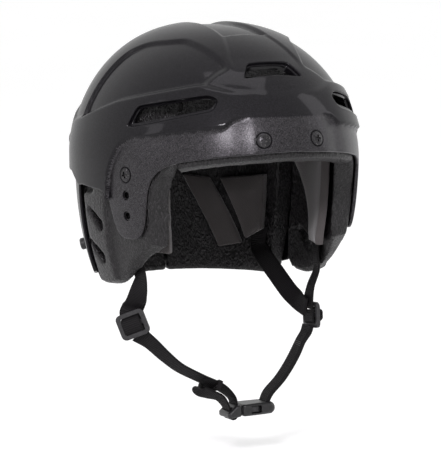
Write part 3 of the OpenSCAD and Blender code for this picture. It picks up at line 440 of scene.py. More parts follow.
# Frames of cuts and seats: origin and three directions, the third one outwards
def turned(origin, tilt, turn):
    """Frame of a flat outline that was tilted about X, then turned about Z."""
    s, c = math.sin(math.radians(tilt)), math.cos(math.radians(tilt))
    st, ct = math.sin(math.radians(turn)), math.cos(math.radians(turn))
    about_x = np.array([[1, 0, 0], [0, c, -s], [0, s, c]])
    about_z = np.array([[ct, -st, 0], [st, ct, 0], [0, 0, 1]])
    return np.array(origin, float), (about_z @ about_x).T


def dome_frame(a, z, d=0.0):
    """Frame square to the dome at a place."""
    n = out_dir(a, z)
    x = unit(np.cross([0, 0, 1.0], n))
    return at(a, z, d), np.array([x, np.cross(n, x), n])


def seat_frame(a, z):
    """Frame square to the dome on the front shell's face."""
    return dome_frame(a, z, float(relief(a, z)))


def local(place, points):
    """Points as a frame sees them."""
    return (points - place[0]) @ place[1].T


def world(place, points):
    """Points of a frame, placed."""
    return place[0] + np.asarray(points, float) @ place[1]


def opening(place, gap, rings=None):
    """Opening in a shell: how far points are outside of it, and its rings from its edge points."""
    def outside(points):
        p = local(place, points)
        return np.where(p[..., 2] > NEAR, gap(p), FAR_OUT)

    def lined(points):
        return [world(place, q) for q in rings(local(place, points))]

    return outside, lined if rings else None


# Vents of the front shell
SIDE_VENT = np.array([(-40.7, -13.3), (-31.2, 4.6), (30, 15), (38.2, 10.8), (35.6, 1.9), (-37.6, -13.8)])
FRONT_VENT = np.array([(-26, -8), (-17.5, 8.5), (17.5, 8.5), (26, -8.0)])
RIGHT_VENT = turned((-75, -76, 30), 90, -41.5)
LEFT_VENT = [v * [-1, 1, 1] for v in RIGHT_VENT]
TOP_VENT = turned((0, -94, 62), 50, 0)
VENT_EDGE, VENT_SOFT, VENT_REACH, VENT_PASSES, VENT_STEP = 0.2, 0.75, 0.05, 6, 0.7
VENT_PROFILE = [(0, 0), (0.25, 0.05), (0.6, 0.25), (0.9, 0.7), (1.3, 1.7), (1.7, 2.5), (2.1, 2.9), (2.7, 3.1),
                (3.1, 3.4), (3.2, 4), (3.2, 8.5)]
TOP_PROFILE = [(0, 0), (0.2, 0.05), (0.5, 0.25), (0.75, 0.7), (0.95, 1.6), (1.1, 2.6), (1.5, 3), (1.9, 3.3),
               (2, 4), (2, 8.5)]


def vent(outline, place, profile):
    """Vent with rounded corners: profile holds pairs of way into the opening and depth."""
    ends = np.roll(outline, -1, 0)
    side = unit(ends - outline)
    area = np.sum(outline[:, 0] * ends[:, 1] - ends[:, 0] * outline[:, 1])
    out = np.stack([side[:, 1], -side[:, 0]], -1) * np.sign(area)

    def gap(x, y):
        gaps = np.stack([(x - o[0]) * n[0] + (y - o[1]) * n[1] for o, n in zip(outline, out)])
        top = gaps.max(0)
        return top + np.log(np.exp(VENT_SOFT * (gaps - top)).sum(0)) / VENT_SOFT - VENT_EDGE

    def rings(p):
        found = []
        for inward, depth in profile:
            q = p.copy()
            for _ in range(VENT_PASSES):
                x, y = q[:, 0], q[:, 1]
                slope = unit(np.stack([gap(x + VENT_REACH, y) - gap(x - VENT_REACH, y),
                                       gap(x, y + VENT_REACH) - gap(x, y - VENT_REACH)], -1))
                q[:, :2] -= slope * ((gap(x, y) + inward) * VENT_STEP)[:, None]
            q[:, 2] = p[:, 2] - depth
            found.append(q)
        return found

    return opening(place, lambda p: gap(p[..., 0], p[..., 1]), rings)


# Screws and nuts
HEAD_D, SEAT_SINK, BARREL_D, POCKET_R = 11, 0.9, 6.6, 7.5
TEMPLE_A, TEMPLE_DROP, TEMPLE_PITCH = 61, 19.4, 16.1
FRONT_SCREW_X, FRONT_SCREW_Z = 22.7, 11
TEMPLE_Z = [-TEMPLE_DROP - k * TEMPLE_PITCH for k in range(3)]
FRONT_SCREW_A = math.degrees(math.asin(FRONT_SCREW_X / float(plan_r(0) * fall(FRONT_SCREW_Z))))
SIZE_PLACES = [(a, float(edge_z(a)) + 13) for a in (126, 141)]
SEAT_R, HOLE_R = HEAD_D / 2 + 1.2, BARREL_D / 2 + FIT
SEAT_PROFILE = [(0.1, 0), (-0.15, 0.05), (-0.45, 0.2), (-0.65, 0.45), (-0.75, 0.75), (-0.95, 0.9),
                (-1.3, 0.92), (HOLE_R - SEAT_R, 0.92), (HOLE_R - SEAT_R, FRONT_WALL + 0.5)]
HOLE_PROFILE = [(0.3, 0), (0.12, 0.03), (0, 0.2), (0, FRONT_WALL + 0.5)]


def round_hole(a, z, radius, profile):
    """Round hole square to the front shell: profile holds pairs of way out from the radius and depth."""
    def rings(p):
        spoke = unit(p[:, :2])
        return [np.column_stack([spoke * (radius + out), (p[:, 2] if k < 2 else 0) - depth * np.ones(len(p))])
                for k, (out, depth) in enumerate(profile)]
    return opening(seat_frame(a, z), lambda p: np.hypot(p[..., 0], p[..., 1]) - radius - profile[0][0], rings)


# Rear vents, studs and the slots for the size screws
SLOT_HALF, SLOT_R = np.array([2.5, 15]), 4
SLOT_A, SLOT_Z, SLOT_LEAN = 156, -6, -18
SLOT_PROFILE = [(0.2, 0.1), (0.6, 0.5), (0.8, 1.1), (0.8, 5)]
SIZE_TRAVEL, NUT_ROOM = 10, 5.3
STUD_A, STUD_Z = 126, -86


def rear_vent_place(side):
    origin, axes = dome_frame(side * SLOT_A, SLOT_Z)
    turn = math.radians(SLOT_LEAN * side)
    c, s = math.cos(turn), math.sin(turn)
    return origin, np.array([axes[0] * c + axes[1] * s, axes[1] * c - axes[0] * s, axes[2]])


def rear_vent(side):
    """Slot with round ends."""
    def gap(p):
        x, y = (np.abs(p[..., k]) - SLOT_HALF[k] for k in (0, 1))
        return np.hypot(np.maximum(x, 0), np.maximum(y, 0)) + np.minimum(np.maximum(x, y), 0) - SLOT_R

    def rings(p):
        core = np.clip(p[:, :2], -SLOT_HALF, SLOT_HALF)
        spoke = unit(p[:, :2] - core)
        return [np.column_stack([core + spoke * (SLOT_R - m), p[:, 2] - n]) for m, n in SLOT_PROFILE]

    return opening(rear_vent_place(side), gap, rings)


def travel_slot(a, z):
    """Hidden slot that lets the rear shell pass a size screw."""
    place = dome_frame(a, z)
    way = (place[1] @ np.array([0, SIZE_TRAVEL, 0]))[:2]

    def gap(p):
        share = np.clip(p[..., :2] @ way / (way @ way), 0, 1)[..., None]
        return np.linalg.norm(p[..., :2] - share * way, axis=-1) - NUT_ROOM

    return opening(place, gap)


def shell(skin, back, lift, edge, wall, openings, satin=None):
    """Outer skin with a rolled edge and openings, and a plain inner skin."""
    shown = lambda a, z: at(a, z, lift(a, z))
    cuts = [(lambda a, z: z - edge(fold(a)) - ROLL, None)]
    cuts += [(lambda a, z, gap=gap: gap(shown(a, z)), rings) for gap, rings in openings]
    edges = []
    for height, rings in cuts:
        edges += [(run, closed, rings) for run, closed in skin.trim(height)]
        back.trim(height)
    a, z = skin.points.T
    points = shown(a, z)
    paint = satin(a, z) if satin else np.zeros(len(a), bool)
    build = Build()
    build.add(points, skin.faces, (paint[skin.faces].mean(1) > 0.5).astype(int))
    for run, closed, rings in edges:
        p = points[run]
        if rings:
            build.rings([p] + rings(p), closed)
            continue
        rolls = rolled_rings(p, out_dir(a[run], z[run]), closed, wall)
        own = paint[run if closed else run[:-1]]
        build.rings(rolls, closed, np.tile(own, len(rolls) - 1).astype(int))
    a, z = back.points.T
    build.add(at(a, z, lift(a, z) - wall), back.faces[:, ::-1])
    return build


def shell_columns():
    """Angles of the front shell's columns, closer together where the photograph looks."""
    fine = np.linspace(-180, 180, 3601)
    density = mix(1.0, 0.5, ease(np.abs(fine), 100, 140))
    run = np.concatenate([[0], np.cumsum((density[1:] + density[:-1]) / 2)])
    return np.interp(np.linspace(0, run[-1], 500), run, fine)


def front_shell():
    """Vents with recessed lips, screw seats and the satin panel under the step."""
    low = lambda a: np.full(len(a), -TAB_DROP - 3.0)
    top = lambda a: np.full(len(a), BELT_Z + CROWN_H)
    seats = [(FRONT_SCREW_A, FRONT_SCREW_Z), (TEMPLE_A, TEMPLE_Z[0])] + SIZE_PLACES
    openings = [vent(SIDE_VENT, RIGHT_VENT, VENT_PROFILE), vent(SIDE_VENT, LEFT_VENT, VENT_PROFILE),
                vent(FRONT_VENT, TOP_VENT, TOP_PROFILE)]
    openings += [round_hole(s * a, z, SEAT_R, SEAT_PROFILE) for s in (-1, 1) for a, z in seats]
    openings += [round_hole(s * TEMPLE_A, z, HOLE_R, HOLE_PROFILE) for s in (-1, 1) for z in TEMPLE_Z[1:]]
    return shell(Skin(shell_columns(), low, top, 150), Skin(np.linspace(-180, 180, 181), low, top, 60),
                 relief, edge_of, FRONT_WALL, openings, lambda a, z: step_of(fold(a)) > z)


TAB_A, TAB_HALF, TAB_LONG, TAB_SLOPE = 133, 4, 8, 0.4
REAR_RIM = 2 - REAR_DROP
REAR_SPAN = (98.2, 261.8)
rear_edge = line([(97.5, 20), (98.6, -8), (103.5, -22), (106, -44), (107, -62), (108.5, -82), (110, -96),
                  (113, REAR_RIM + 4), (120, REAR_RIM + 1), (TAB_A - TAB_HALF - TAB_SLOPE, REAR_RIM),
                  (TAB_A - TAB_HALF + TAB_SLOPE, REAR_RIM - TAB_LONG),
                  (TAB_A + TAB_HALF - TAB_SLOPE, REAR_RIM - TAB_LONG),
                  (TAB_A + TAB_HALF + TAB_SLOPE, REAR_RIM), (180, REAR_RIM + 1)], 0.2)


def rear_shell():
    low = lambda a: np.full(len(a), -REAR_DROP - TAB_LONG - 2.0)
    high = lambda a: edge_z(a) + LAP
    openings = []
    for side in (-1, 1):
        openings += [rear_vent(side)] + [travel_slot(side * a, z) for a, z in SIZE_PLACES]
    skin = Skin(np.linspace(*REAR_SPAN, 270), low, high, 120)
    back = Skin(np.linspace(*REAR_SPAN, 110), low, high, 50)
    return shell(skin, back, rear_out, rear_edge, REAR_WALL, openings)


# Foam liners and pads
def block(outer, inner, side=1):
    """Closed solid between two grids, rows upwards and columns by rising angle, mirrored for side -1."""
    outer, inner = ((g * [side, 1, 1])[:, ::side] for g in (outer, inner))
    o = np.arange(outer[..., 0].size).reshape(outer.shape[:2])
    i = o + o.size
    quads = lambda a, b, c, d: np.stack([a.ravel(), b.ravel(), c.ravel(), d.ravel()], 1)
    faces = np.concatenate([
        quads(o[:-1, :-1], o[:-1, 1:], o[1:, 1:], o[1:, :-1]),
        quads(i[:-1, :-1], i[1:, :-1], i[1:, 1:], i[:-1, 1:]),
        quads(o[0, :-1], i[0, :-1], i[0, 1:], o[0, 1:]),
        quads(o[-1, 1:], i[-1, 1:], i[-1, :-1], o[-1, :-1]),
        quads(o[1:, 0], i[1:, 0], i[:-1, 0], o[:-1, 0]),
        quads(o[:-1, -1], i[:-1, -1], i[1:, -1], o[1:, -1])])
    return np.concatenate([outer.reshape(-1, 3), inner.reshape(-1, 3)]), faces


def sheet(size, place, lift):
    """Grid on the dome: place gives angle and height, lift the way out, from the shares across and up."""
    v, u = np.meshgrid(np.linspace(0, 1, size[0]), np.linspace(0, 1, size[1]), indexing="ij")
    a, z = place(u, v)
    return at(a, z, lift(a, z, u, v))


def hull(points):
    """Closed convex cutter through points in millimetres."""
    def wrap(b):
        bmesh.ops.convex_hull(b, input=b.verts)
        bmesh.ops.delete(b, geom=[v for v in b.verts if not v.link_faces], context="VERTS")
        bmesh.ops.recalc_face_normals(b, faces=b.faces)
    obj = add_mesh("cutter", points, [], [])
    edit_mesh(obj, wrap)
    return obj


def prism(outline, heights):
    return np.concatenate([np.column_stack([outline, np.full(len(outline), float(h))]) for h in heights])


def circle(centre, radius, count=40):
    t = np.linspace(0, 2 * math.pi, count, endpoint=False)
    return np.array(centre) + radius * np.column_stack([np.cos(t), np.sin(t)])


def vent_cutter(outline, place, low, high, rise=0.0):
    """Cutter of a vent's outline, grown by a margin and swept up by a rise."""
    ends = world(place, prism(outline + unit(outline - outline.mean(0)), (low, high)))
    return hull(np.concatenate([ends, ends + [0, 0, rise]]))


def moulded(obj, voxel, passes, cutters=()):
    """Cuts the piece, then rounds all its edges as a mould does."""
    for cutter in cutters:
        cut = obj.modifiers.new("cut", "BOOLEAN")
        cut.operation = "DIFFERENCE"
        cut.solver = "EXACT"
        cut.object = cutter
    bake_modifiers(obj)
    for cutter in cutters:
        bpy.data.objects.remove(cutter)
    mesh = obj.modifiers.new("even", "REMESH")
    mesh.mode = "VOXEL"
    mesh.voxel_size = voxel * MM
    mesh.use_smooth_shade = True
    soft = obj.modifiers.new("soft", "SMOOTH")
    soft.factor = 0.5
    soft.iterations = passes
    bake_modifiers(obj)


BROW_HALF, LINER_TOP, FOAM_BELOW = 38, 46.5, 7.5
side_low = line([(x, z - EAR_DROP) for x, z in ((0, 38.5), (0.08, 33), (0.18, 27), (0.3, 16), (0.42, 8),
                                                (0.55, 2.5), (0.7, 0), (0.86, 0.5), (0.95, 4), (1, 10))],
                0.02, 0.002)
side_front_out = line([(-120, 50.5), (-38, 50.5), (-28, 48.8), (-20, 46), (-14, 42.5), (-9, 39.4),
                       (-6, BROW_HALF + 0.7), (100, BROW_HALF + 0.7)], 1.5)
side_front_in = line([(-120, 44), (-36, 43.5), (-24, 41.8), (-16, 40), (-11, BROW_HALF + 0.9),
                      (-8, BROW_HALF + 0.7), (100, BROW_HALF + 0.7)], 1.5)
SIDE_BACK = 107.5
EAR_HOLE_R, EAR_TIP_R = 5, 2.1
EAR_HOLES = [((-1, -62.5), (15, -51.5)), ((6, -89), (22, -78))]
REAR_FRONT, REAR_MIDDLE = 115, 179.6
rear_top = line([(108, 20), (118, 32), (125, 42), (140, 58), (155, 66), (180, 68)], 1.5)
crown_rim = line([(0, 49), (108, 49), (118, 51.5), (125, 58), (140, 78), (160, 86), (180, 87)], 1.5)
FOAM_LIP = 4


def brow_liner():
    def face(low, high, lift):
        def place(u, v):
            a = mix(-BROW_HALF, BROW_HALF, u)
            return a, mix(edge_z(a) - FOAM_BELOW + low, LINER_TOP - high, v)
        return sheet((34, 70), place, lift)

    cutters = [vent_cutter(SIDE_VENT, v, -FOAM - 9, 30, CROWN_H - LINER_TOP) for v in (RIGHT_VENT, LEFT_VENT)]
    return block(face(3, 0, lambda a, z, u, v: under(a, np.maximum(z, edge_z(a)))),
                 face(-1.5, 1, lambda a, z, u, v: foam_in(a) + 3.5 * (1 - v) ** 8)), cutters


def side_liner(side):
    def face(front, drop, lift):
        def place(u, v):
            z = mix(side_low(u) + drop, LINER_TOP, v)
            return mix(front(z), SIDE_BACK, u), z
        return sheet((90, 70), place, lift)

    cutters = [vent_cutter(SIDE_VENT, RIGHT_VENT if side < 0 else LEFT_VENT, -20, 30)]
    for low, tip in EAR_HOLES:
        flat = np.concatenate([circle(low, EAR_HOLE_R), circle(tip, EAR_TIP_R)])
        cutters.append(hull(np.roll(prism(flat, (50, 140)), 1, axis=1) * [side, 1, 1]))
    return block(face(side_front_out, 1.5, lambda a, z, u, v: side_out(a, z)),
                 face(side_front_in, 0, lambda a, z, u, v: side_in(a, z) + FOAM_LIP * (1 - v) ** 14),
                 side), cutters


def rear_liner(side):
    def face(front, low, high, lift):
        def place(u, v):
            a = mix(REAR_FRONT + front, REAR_MIDDLE, u)
            return a, mix(-REAR_DROP - low, rear_top(a) - high, v)
        return sheet((80, 44), place, lift)

    corners = circle((0, 0), 1)
    slot = SLOT_HALF * np.sign(corners) + SLOT_R * corners
    cutters = [hull(world(rear_vent_place(side), prism(slot, (-30, 30))))]
    for a, z in SIZE_PLACES:
        ends = world(seat_frame(side * a, z), prism(circle((0, 0), POCKET_R, 32), (-22, 2)))
        cutters.append(hull(np.concatenate([ends, ends + [0, SIZE_TRAVEL, 0]])))
    return block(face(0, 2, 0, lambda a, z, u, v: rear_foam_out(a, z)),
                 face(1.5, 4, 1, lambda a, z, u, v: foam_in(a) + FOAM_LIP * (1 - v) ** 14), side), cutters


def cap(size, rim, lift):
    """Grid over the crown, from the rim's height at each angle up to the pole."""
    def place(u, v):
        a = mix(-180.0, 180.0, u)
        return a, climb(rim(fold(a)), BELT_Z + CROWN_H, v)
    return sheet(size, place, lift)


def crown_liner():
    return block(cap((40, 121), crown_rim, lambda a, z, u, v: under(a, z) - FACET_ROOM),
                 cap((40, 121), lambda b: crown_rim(b) + 1, lambda a, z, u, v: foam_in(0))), [
                     vent_cutter(FRONT_VENT, TOP_VENT, -24, 20)]


PAD_THICK, PAD_GAP, STRAP_GAP, WEB_W, WEB_T = 8, FIT + FACET_ROOM, 0.9, 15, 1.6
STRAP_ROOM = STRAP_GAP + WEB_T
# Sides, then angle and height by the shares across and up, then the face that carries the pad
PADS = {
    "brow_pad": ([0], lambda u, v: (mix(-33, 33, u), mix(0, 34, v)), lambda a, z: foam_in(a)),
    "temple_pad": ([-1, 1], lambda u, v: (mix(46, mix(68, 104, v**1.6), u), mix(-82, -14, v)),
                   lambda a, z: side_in(a, z) - STRAP_ROOM),
    "outer_rear_pad": ([-1, 1], lambda u, v: (mix(122.5, mix(134, 150.5, v), u),
                                              mix(mix(-80, -89, u), mix(-35, -40, u), v)),
                       lambda a, z: foam_in(a) - STRAP_ROOM),
    "inner_rear_pad": ([-1, 1], lambda u, v: (mix(mix(137, 156, v), mix(151, 170, v), u),
                                              mix(mix(-93, -97, u), mix(-40, -37, u), v)),
                       lambda a, z: foam_in(a)),
}
CROWN_PAD_RIM = 80


def pad(side, place, base):
    """Die-cut pad, flat on the foam and softly crowned on the head's side."""
    def face(sink, crown):
        rounding = lambda u, v: 1 - crown * np.maximum(np.abs(2 * u - 1), np.abs(2 * v - 1)) ** 6
        return sheet((46, 30), place, lambda a, z, u, v: base(a, z) - PAD_GAP - sink * rounding(u, v))
    return block(face(0, 0), face(PAD_THICK, 0.18), side or 1), []


def crown_pad():
    base = foam_in(0) - PAD_GAP
    return block(cap((24, 97), lambda b: CROWN_PAD_RIM, lambda a, z, u, v: base),
                 cap((24, 97), lambda b: CROWN_PAD_RIM + 0.6,
                     lambda a, z, u, v: base - PAD_THICK * (1 - 0.6 * (1 - v) ** 4))), []


# Repeated forms
class Nodes:
    """Short way to fill a node tree."""

    def __init__(self, tree):
        self.tree = tree

    def plug(self, socket, value):
        if isinstance(value, bpy.types.NodeSocket):
            self.tree.links.new(value, socket)
        else:
            socket.default_value = value

    def make(self, kind, inputs=None, **settings):
        """New node. A list among the inputs plugs all its values into the one socket."""
        n = self.tree.nodes.new(kind)
        for key, value in settings.items():
            setattr(n, key, value)
        for key, value in (inputs or {}).items():
            for one in value if isinstance(value, list) else [value]:
                self.plug(n.inputs[key], one)
        return n

    def sum(self, a, b=0.0, op="ADD"):
        return self.make("ShaderNodeMath", {0: a, 1: b}, operation=op).outputs[0]


class Growth(Nodes):
    """Short way to build a tree that grows a repeated form, with named inputs for its sizes in millimetres."""

    def __init__(self, name, **sizes):
        super().__init__(bpy.data.node_groups.new(name, "GeometryNodeTree"))
        face = self.tree.interface
        face.new_socket("Geometry", in_out="INPUT", socket_type="NodeSocketGeometry")
        self.ids = {}
        for key, value in dict(sizes, material=None).items():
            kind = "NodeSocketMaterial" if value is None else "NodeSocketFloat"
            socket = face.new_socket(key, in_out="INPUT", socket_type=kind)
            if value is not None:
                socket.default_value = value
            self.ids[key] = socket.identifier
        face.new_socket("Geometry", in_out="OUTPUT", socket_type="NodeSocketGeometry")
        self.entry = self.make("NodeGroupInput").outputs

    def node(self, kind, inputs=None, **settings):
        return self.make(kind, inputs, **settings).outputs[0]

    def size(self, key, times=1.0):
        """A named size in metres, times a number."""
        return self.sum(self.entry[key], MM * times, "MULTIPLY")

    def up(self, height):
        return self.node("ShaderNodeCombineXYZ", {2: height})

    def attribute(self, name, kind):
        return self.node("GeometryNodeInputNamedAttribute", {"Name": name}, data_type=kind)

    def end(self, geometry):
        whole = self.node("GeometryNodeRealizeInstances", {0: geometry})
        whole = self.node("GeometryNodeSetMaterial", {"Geometry": whole, "Material": self.entry["material"]})
        self.make("NodeGroupOutput", {0: whole})
        return self


def grow(obj, growth, **values):
    """Runs a growth on the object with these inputs and turns the result into its mesh."""
    step = obj.modifiers.new(growth.tree.name, "NODES")
    step.node_group = growth.tree
    for key, value in values.items():
        step[growth.ids[key]] = value
    bake_modifiers(obj)


RIB_PITCH = 1.5


def rib_growth():
    """Ribs across a tape, which fade out at its edges."""
    g = Growth("webbing_ribs", pitch=RIB_PITCH, depth=0.28, flat_half=6.4)
    uv = g.node("ShaderNodeSeparateXYZ", {0: g.attribute("UVMap", "FLOAT_VECTOR")}).node.outputs
    wave = g.sum(g.sum(g.sum(uv[1], 2 * math.pi, "MULTIPLY"), g.size("pitch"), "DIVIDE"), op="SINE")
    edge = g.sum(g.size("flat_half"), g.sum(uv[0], op="ABSOLUTE"), "GREATER_THAN")
    lift = g.sum(g.sum(wave, g.size("depth", 0.5), "MULTIPLY"), edge, "MULTIPLY")
    offset = g.node("ShaderNodeVectorMath", {0: g.node("GeometryNodeInputNormal"), "Scale": lift},
                    operation="SCALE")
    return g.end(g.node("GeometryNodeSetPosition", {"Geometry": g.entry["Geometry"], "Offset": offset}))


def placed(g, form):
    """The form on each point, turned as the point says."""
    turn = g.node("FunctionNodeEulerToRotation", {0: g.attribute("turn", "FLOAT_VECTOR")})
    return g.node("GeometryNodeInstanceOnPoints", {"Points": g.entry["Geometry"], "Instance": form,
                                                   "Rotation": turn})


HEAD_EDGE, HEAD_ROUND, HEAD_SIDES, HEAD_RINGS, SHANK_SIDES = 0.9, 2.6, 48, 8, 24


def screw_growth():
    """Pan head screws with a cross recess."""
    g = Growth("cross_head_screws", head_width=float(HEAD_D), head_edge=HEAD_EDGE, head_rise=1.5,
               recess_long=5.4, recess_wide=1.35, recess_deep=1.4, shank_width=3.9, shank_long=8.0)
    disc = {"Vertices": HEAD_SIDES, "Side Segments": 1, "Fill Segments": HEAD_RINGS,
            "Radius": g.size("head_width", 0.5), "Depth": g.size("head_edge")}
    head = g.node("GeometryNodeMeshCylinder", disc, fill_type="TRIANGLE_FAN")
    spot = g.node("GeometryNodeInputPosition")
    part = g.node("ShaderNodeSeparateXYZ", {0: spot}).node.outputs
    flat = g.node("ShaderNodeCombineXYZ", {0: part[0], 1: part[1]})
    reach = g.node("ShaderNodeVectorMath", {0: flat}, operation="LENGTH").node.outputs["Value"]
    share = g.sum(reach, g.size("head_width", 0.5), "DIVIDE")
    dome = g.sum(1.0, g.sum(share, HEAD_ROUND, "POWER"), "SUBTRACT")
    head = g.node("GeometryNodeSetPosition", {"Geometry": head, "Selection": g.sum(part[2], op="GREATER_THAN"),
                                              "Offset": g.up(g.sum(dome, g.size("head_rise"), "MULTIPLY"))})
    top = g.sum(g.size("head_edge", 0.5), g.size("head_rise"))
    slots = []
    for long, wide in ((0, 1), (1, 0)):
        sizes = {long: g.size("recess_long"), wide: g.size("recess_wide"), 2: g.size("recess_deep", 2)}
        cube = g.node("GeometryNodeMeshCube", {"Size": g.node("ShaderNodeCombineXYZ", sizes)})
        slots.append(g.node("GeometryNodeTransform", {"Geometry": cube, "Translation": g.up(top)}))
    head = g.node("GeometryNodeMeshBoolean", {"Mesh 1": head, "Mesh 2": slots}, operation="DIFFERENCE",
                  solver="EXACT")
    shank = g.node("GeometryNodeMeshCylinder", {"Vertices": SHANK_SIDES, "Radius": g.size("shank_width", 0.5),
                                                "Depth": g.size("shank_long")})
    shank = g.node("GeometryNodeTransform", {"Geometry": shank,
                                             "Translation": g.up(g.size("shank_long", -0.5))})
    return g.end(placed(g, g.node("GeometryNodeJoinGeometry", {0: [head, shank]})))


def stitch_growth():
    """Thread stitches, long along their own X."""
    g = Growth("thread_stitches", thread=0.45, stitch=1.5)
    bead = g.node("GeometryNodeMeshIcoSphere", {"Radius": 1.0, "Subdivisions": 2})
    size = g.node("ShaderNodeCombineXYZ", {0: g.size("stitch", 0.5), 1: g.size("thread", 0.5),
                                           2: g.size("thread", 0.5)})
    return g.end(placed(g, g.node("GeometryNodeTransform", {"Geometry": bead, "Scale": size})))


def marked_points(name, points, longs, outs):
    """Loose points, each with its form's long and outward direction."""
    obj = add_mesh(name, points, [], [])
    turns = [Matrix((x, np.cross(z, x), z)).transposed().to_euler() for x, z in zip(longs, outs)]
    obj.data.attributes.new("turn", "FLOAT_VECTOR", "POINT").data.foreach_set("vector", np.ravel(turns))
    return obj


RIBS, SCREWS, STITCHES = rib_growth(), screw_growth(), stitch_growth()


# Webbing
def smooth_run(points, steps):
    """Smooth run of points through the given ones."""
    p = np.array(points, float)
    last = len(p) - 1
    out = []
    for k in range(last):
        a, b, c, d = p[max(0, k - 1)], p[k], p[k + 1], p[min(last, k + 2)]
        for s in range(steps):
            t = s / steps
            bent = (2 * a - 5 * b + 4 * c - d) * t**2 + (3 * b - a - 3 * c + d) * t**3
            out.append(0.5 * (2 * b + (c - a) * t + bent))
    return np.array(out + [p[last]])


def way_along(run):
    """Length of the run up to each of its points."""
    return np.concatenate([[0], np.cumsum(np.linalg.norm(np.diff(run, axis=0), axis=1))])


def even(run, wide, step):
    """The run and its directions at even steps."""
    way = way_along(run)
    spots = np.linspace(0, way[-1], int(way[-1] / step) + 1)
    return [np.stack([np.interp(spots, way, v[:, k]) for k in range(3)], -1) for v in (run, wide)]


WEB_STEPS, RIB_STEPS = 24, 5
WEB_EDGE_R = WEB_T / 2 * 0.9
CRUSH_WIDER, CRUSH_REACH = 0.09, 11


def webbing(name, points, across, layers=1, span=(0, 1), crush=None):
    """Flat ribbed webbing with rounded edges, pressed wider at the place crush. Its UV is in metres."""
    run, wide = even(smooth_run(points, WEB_STEPS), smooth_run(across, WEB_STEPS), RIB_PITCH / RIB_STEPS)
    t = unit(np.gradient(run, axis=0))
    w = unit(wide - t * np.sum(wide * t, 1, keepdims=True))
    f = np.cross(t, w)
    if crush is not None:
        w = w * (1 + CRUSH_WIDER * np.exp(-(np.linalg.norm(run - crush, axis=1) / CRUSH_REACH) ** 2))[:, None]
    half, thick = WEB_W / 2, layers * WEB_T / 2
    turn = np.linspace(-math.pi / 2, math.pi / 2, 5)
    right = [(half - WEB_EDGE_R + WEB_EDGE_R * math.cos(v), thick * math.sin(v)) for v in turn]
    flat = [half * k for k in (0.75, 0.45, 0.15, -0.15, -0.45, -0.75)]
    upper = right + [(x, thick) for x in flat]
    section = np.array(upper + [(-x, -y) for x, y in upper])
    rings = run[:, None] + w[:, None] * section[None, :, :1] + f[:, None] * section[None, :, 1:]
    way = way_along(run)
    first, last = (round(k * (len(run) - 1)) for k in span)
    rings, way = rings[first:last + 1], way[first:last + 1]
    n, m = rings.shape[:2]
    faces = strip(n, m) + [tuple(range(m))[::-1], tuple(range((n - 1) * m, n * m))]
    uv = np.stack(np.broadcast_arrays(section[:, 0] * MM, way[:, None] * MM), -1)
    obj = add_mesh(name, rings.reshape(-1, 3), faces, [WEB], uv=uv.reshape(-1, 2))
    edit_mesh(obj, lambda b: bmesh.ops.recalc_face_normals(b, faces=b.faces))
    grow(obj, RIBS, material=WEB)
    sharpen(obj, 60)
    return obj


# Materials
# Band spacing of a wave texture at scale 1
WAVE_PERIOD = 0.31416


class Paint(Nodes):
    """Short way to wire a material's nodes."""

    def __init__(self, name):
        self.material = bpy.data.materials.new(name)
        self.material.use_nodes = True
        super().__init__(self.material.node_tree)
        self.shader = self.tree.nodes["Principled BSDF"]
        self.coords = self.make("ShaderNodeTexCoord").outputs

    def set(self, **values):
        for key, value in values.items():
            self.plug(self.shader.inputs[key.replace("_", " ")], value)

    def turned(self, turn, scale=(1, 1, 1), source=None):
        """Coordinates in metres, Object ones if no others are given, scaled and turned by degrees."""
        angles = tuple(math.radians(v) for v in turn)
        n = self.make("ShaderNodeMapping", {"Vector": source or self.coords["Object"], "Scale": scale,
                                            "Rotation": angles})
        return n.outputs["Vector"]

    def noise(self, size, detail=2):
        """Noise whose grain is about that size in millimetres."""
        n = self.make("ShaderNodeTexNoise", {"Vector": self.coords["Object"], "Scale": 1 / (size * MM),
                                             "Detail": detail})
        return n.outputs["Fac"]

    def cells(self, size, where=None, feature="F1", output="Distance"):
        """Cells of about that size in millimetres."""
        where = where or self.coords["Object"]
        n = self.make("ShaderNodeTexVoronoi", {"Vector": where, "Scale": 1 / (size * MM)}, feature=feature)
        return n.outputs[output]

    def wave(self, size, where, distortion):
        """Bands across the X of the coordinates, that far apart in millimetres."""
        n = self.make("ShaderNodeTexWave", {"Vector": where, "Scale": WAVE_PERIOD / (size * MM),
                                            "Distortion": distortion}, wave_type="BANDS", bands_direction="X")
        return n.outputs["Fac"]

    def ramp(self, value, low, high, a=0.0, b=1.0):
        """The value, taken from one range to another."""
        n = self.make("ShaderNodeMapRange", {"Value": value, "From Min": low, "From Max": high, "To Min": a,
                                             "To Max": b})
        return n.outputs["Result"]

    def blend(self, t, a, b):
        """Colour between two colours."""
        n = self.make("ShaderNodeMix", {"Factor": t}, data_type="RGBA")
        for socket, value in ((n.inputs[6], a), (n.inputs[7], b)):
            self.plug(socket, value if isinstance(value, bpy.types.NodeSocket) else (*value, 1))
        return n.outputs[2]

    def finish(self, height, depth):
        """The material, with a bump of that depth in millimetres."""
        n = self.make("ShaderNodeBump", {"Height": height, "Distance": depth * MM, "Strength": 1})
        self.set(Normal=n.outputs["Normal"])
        return self.material


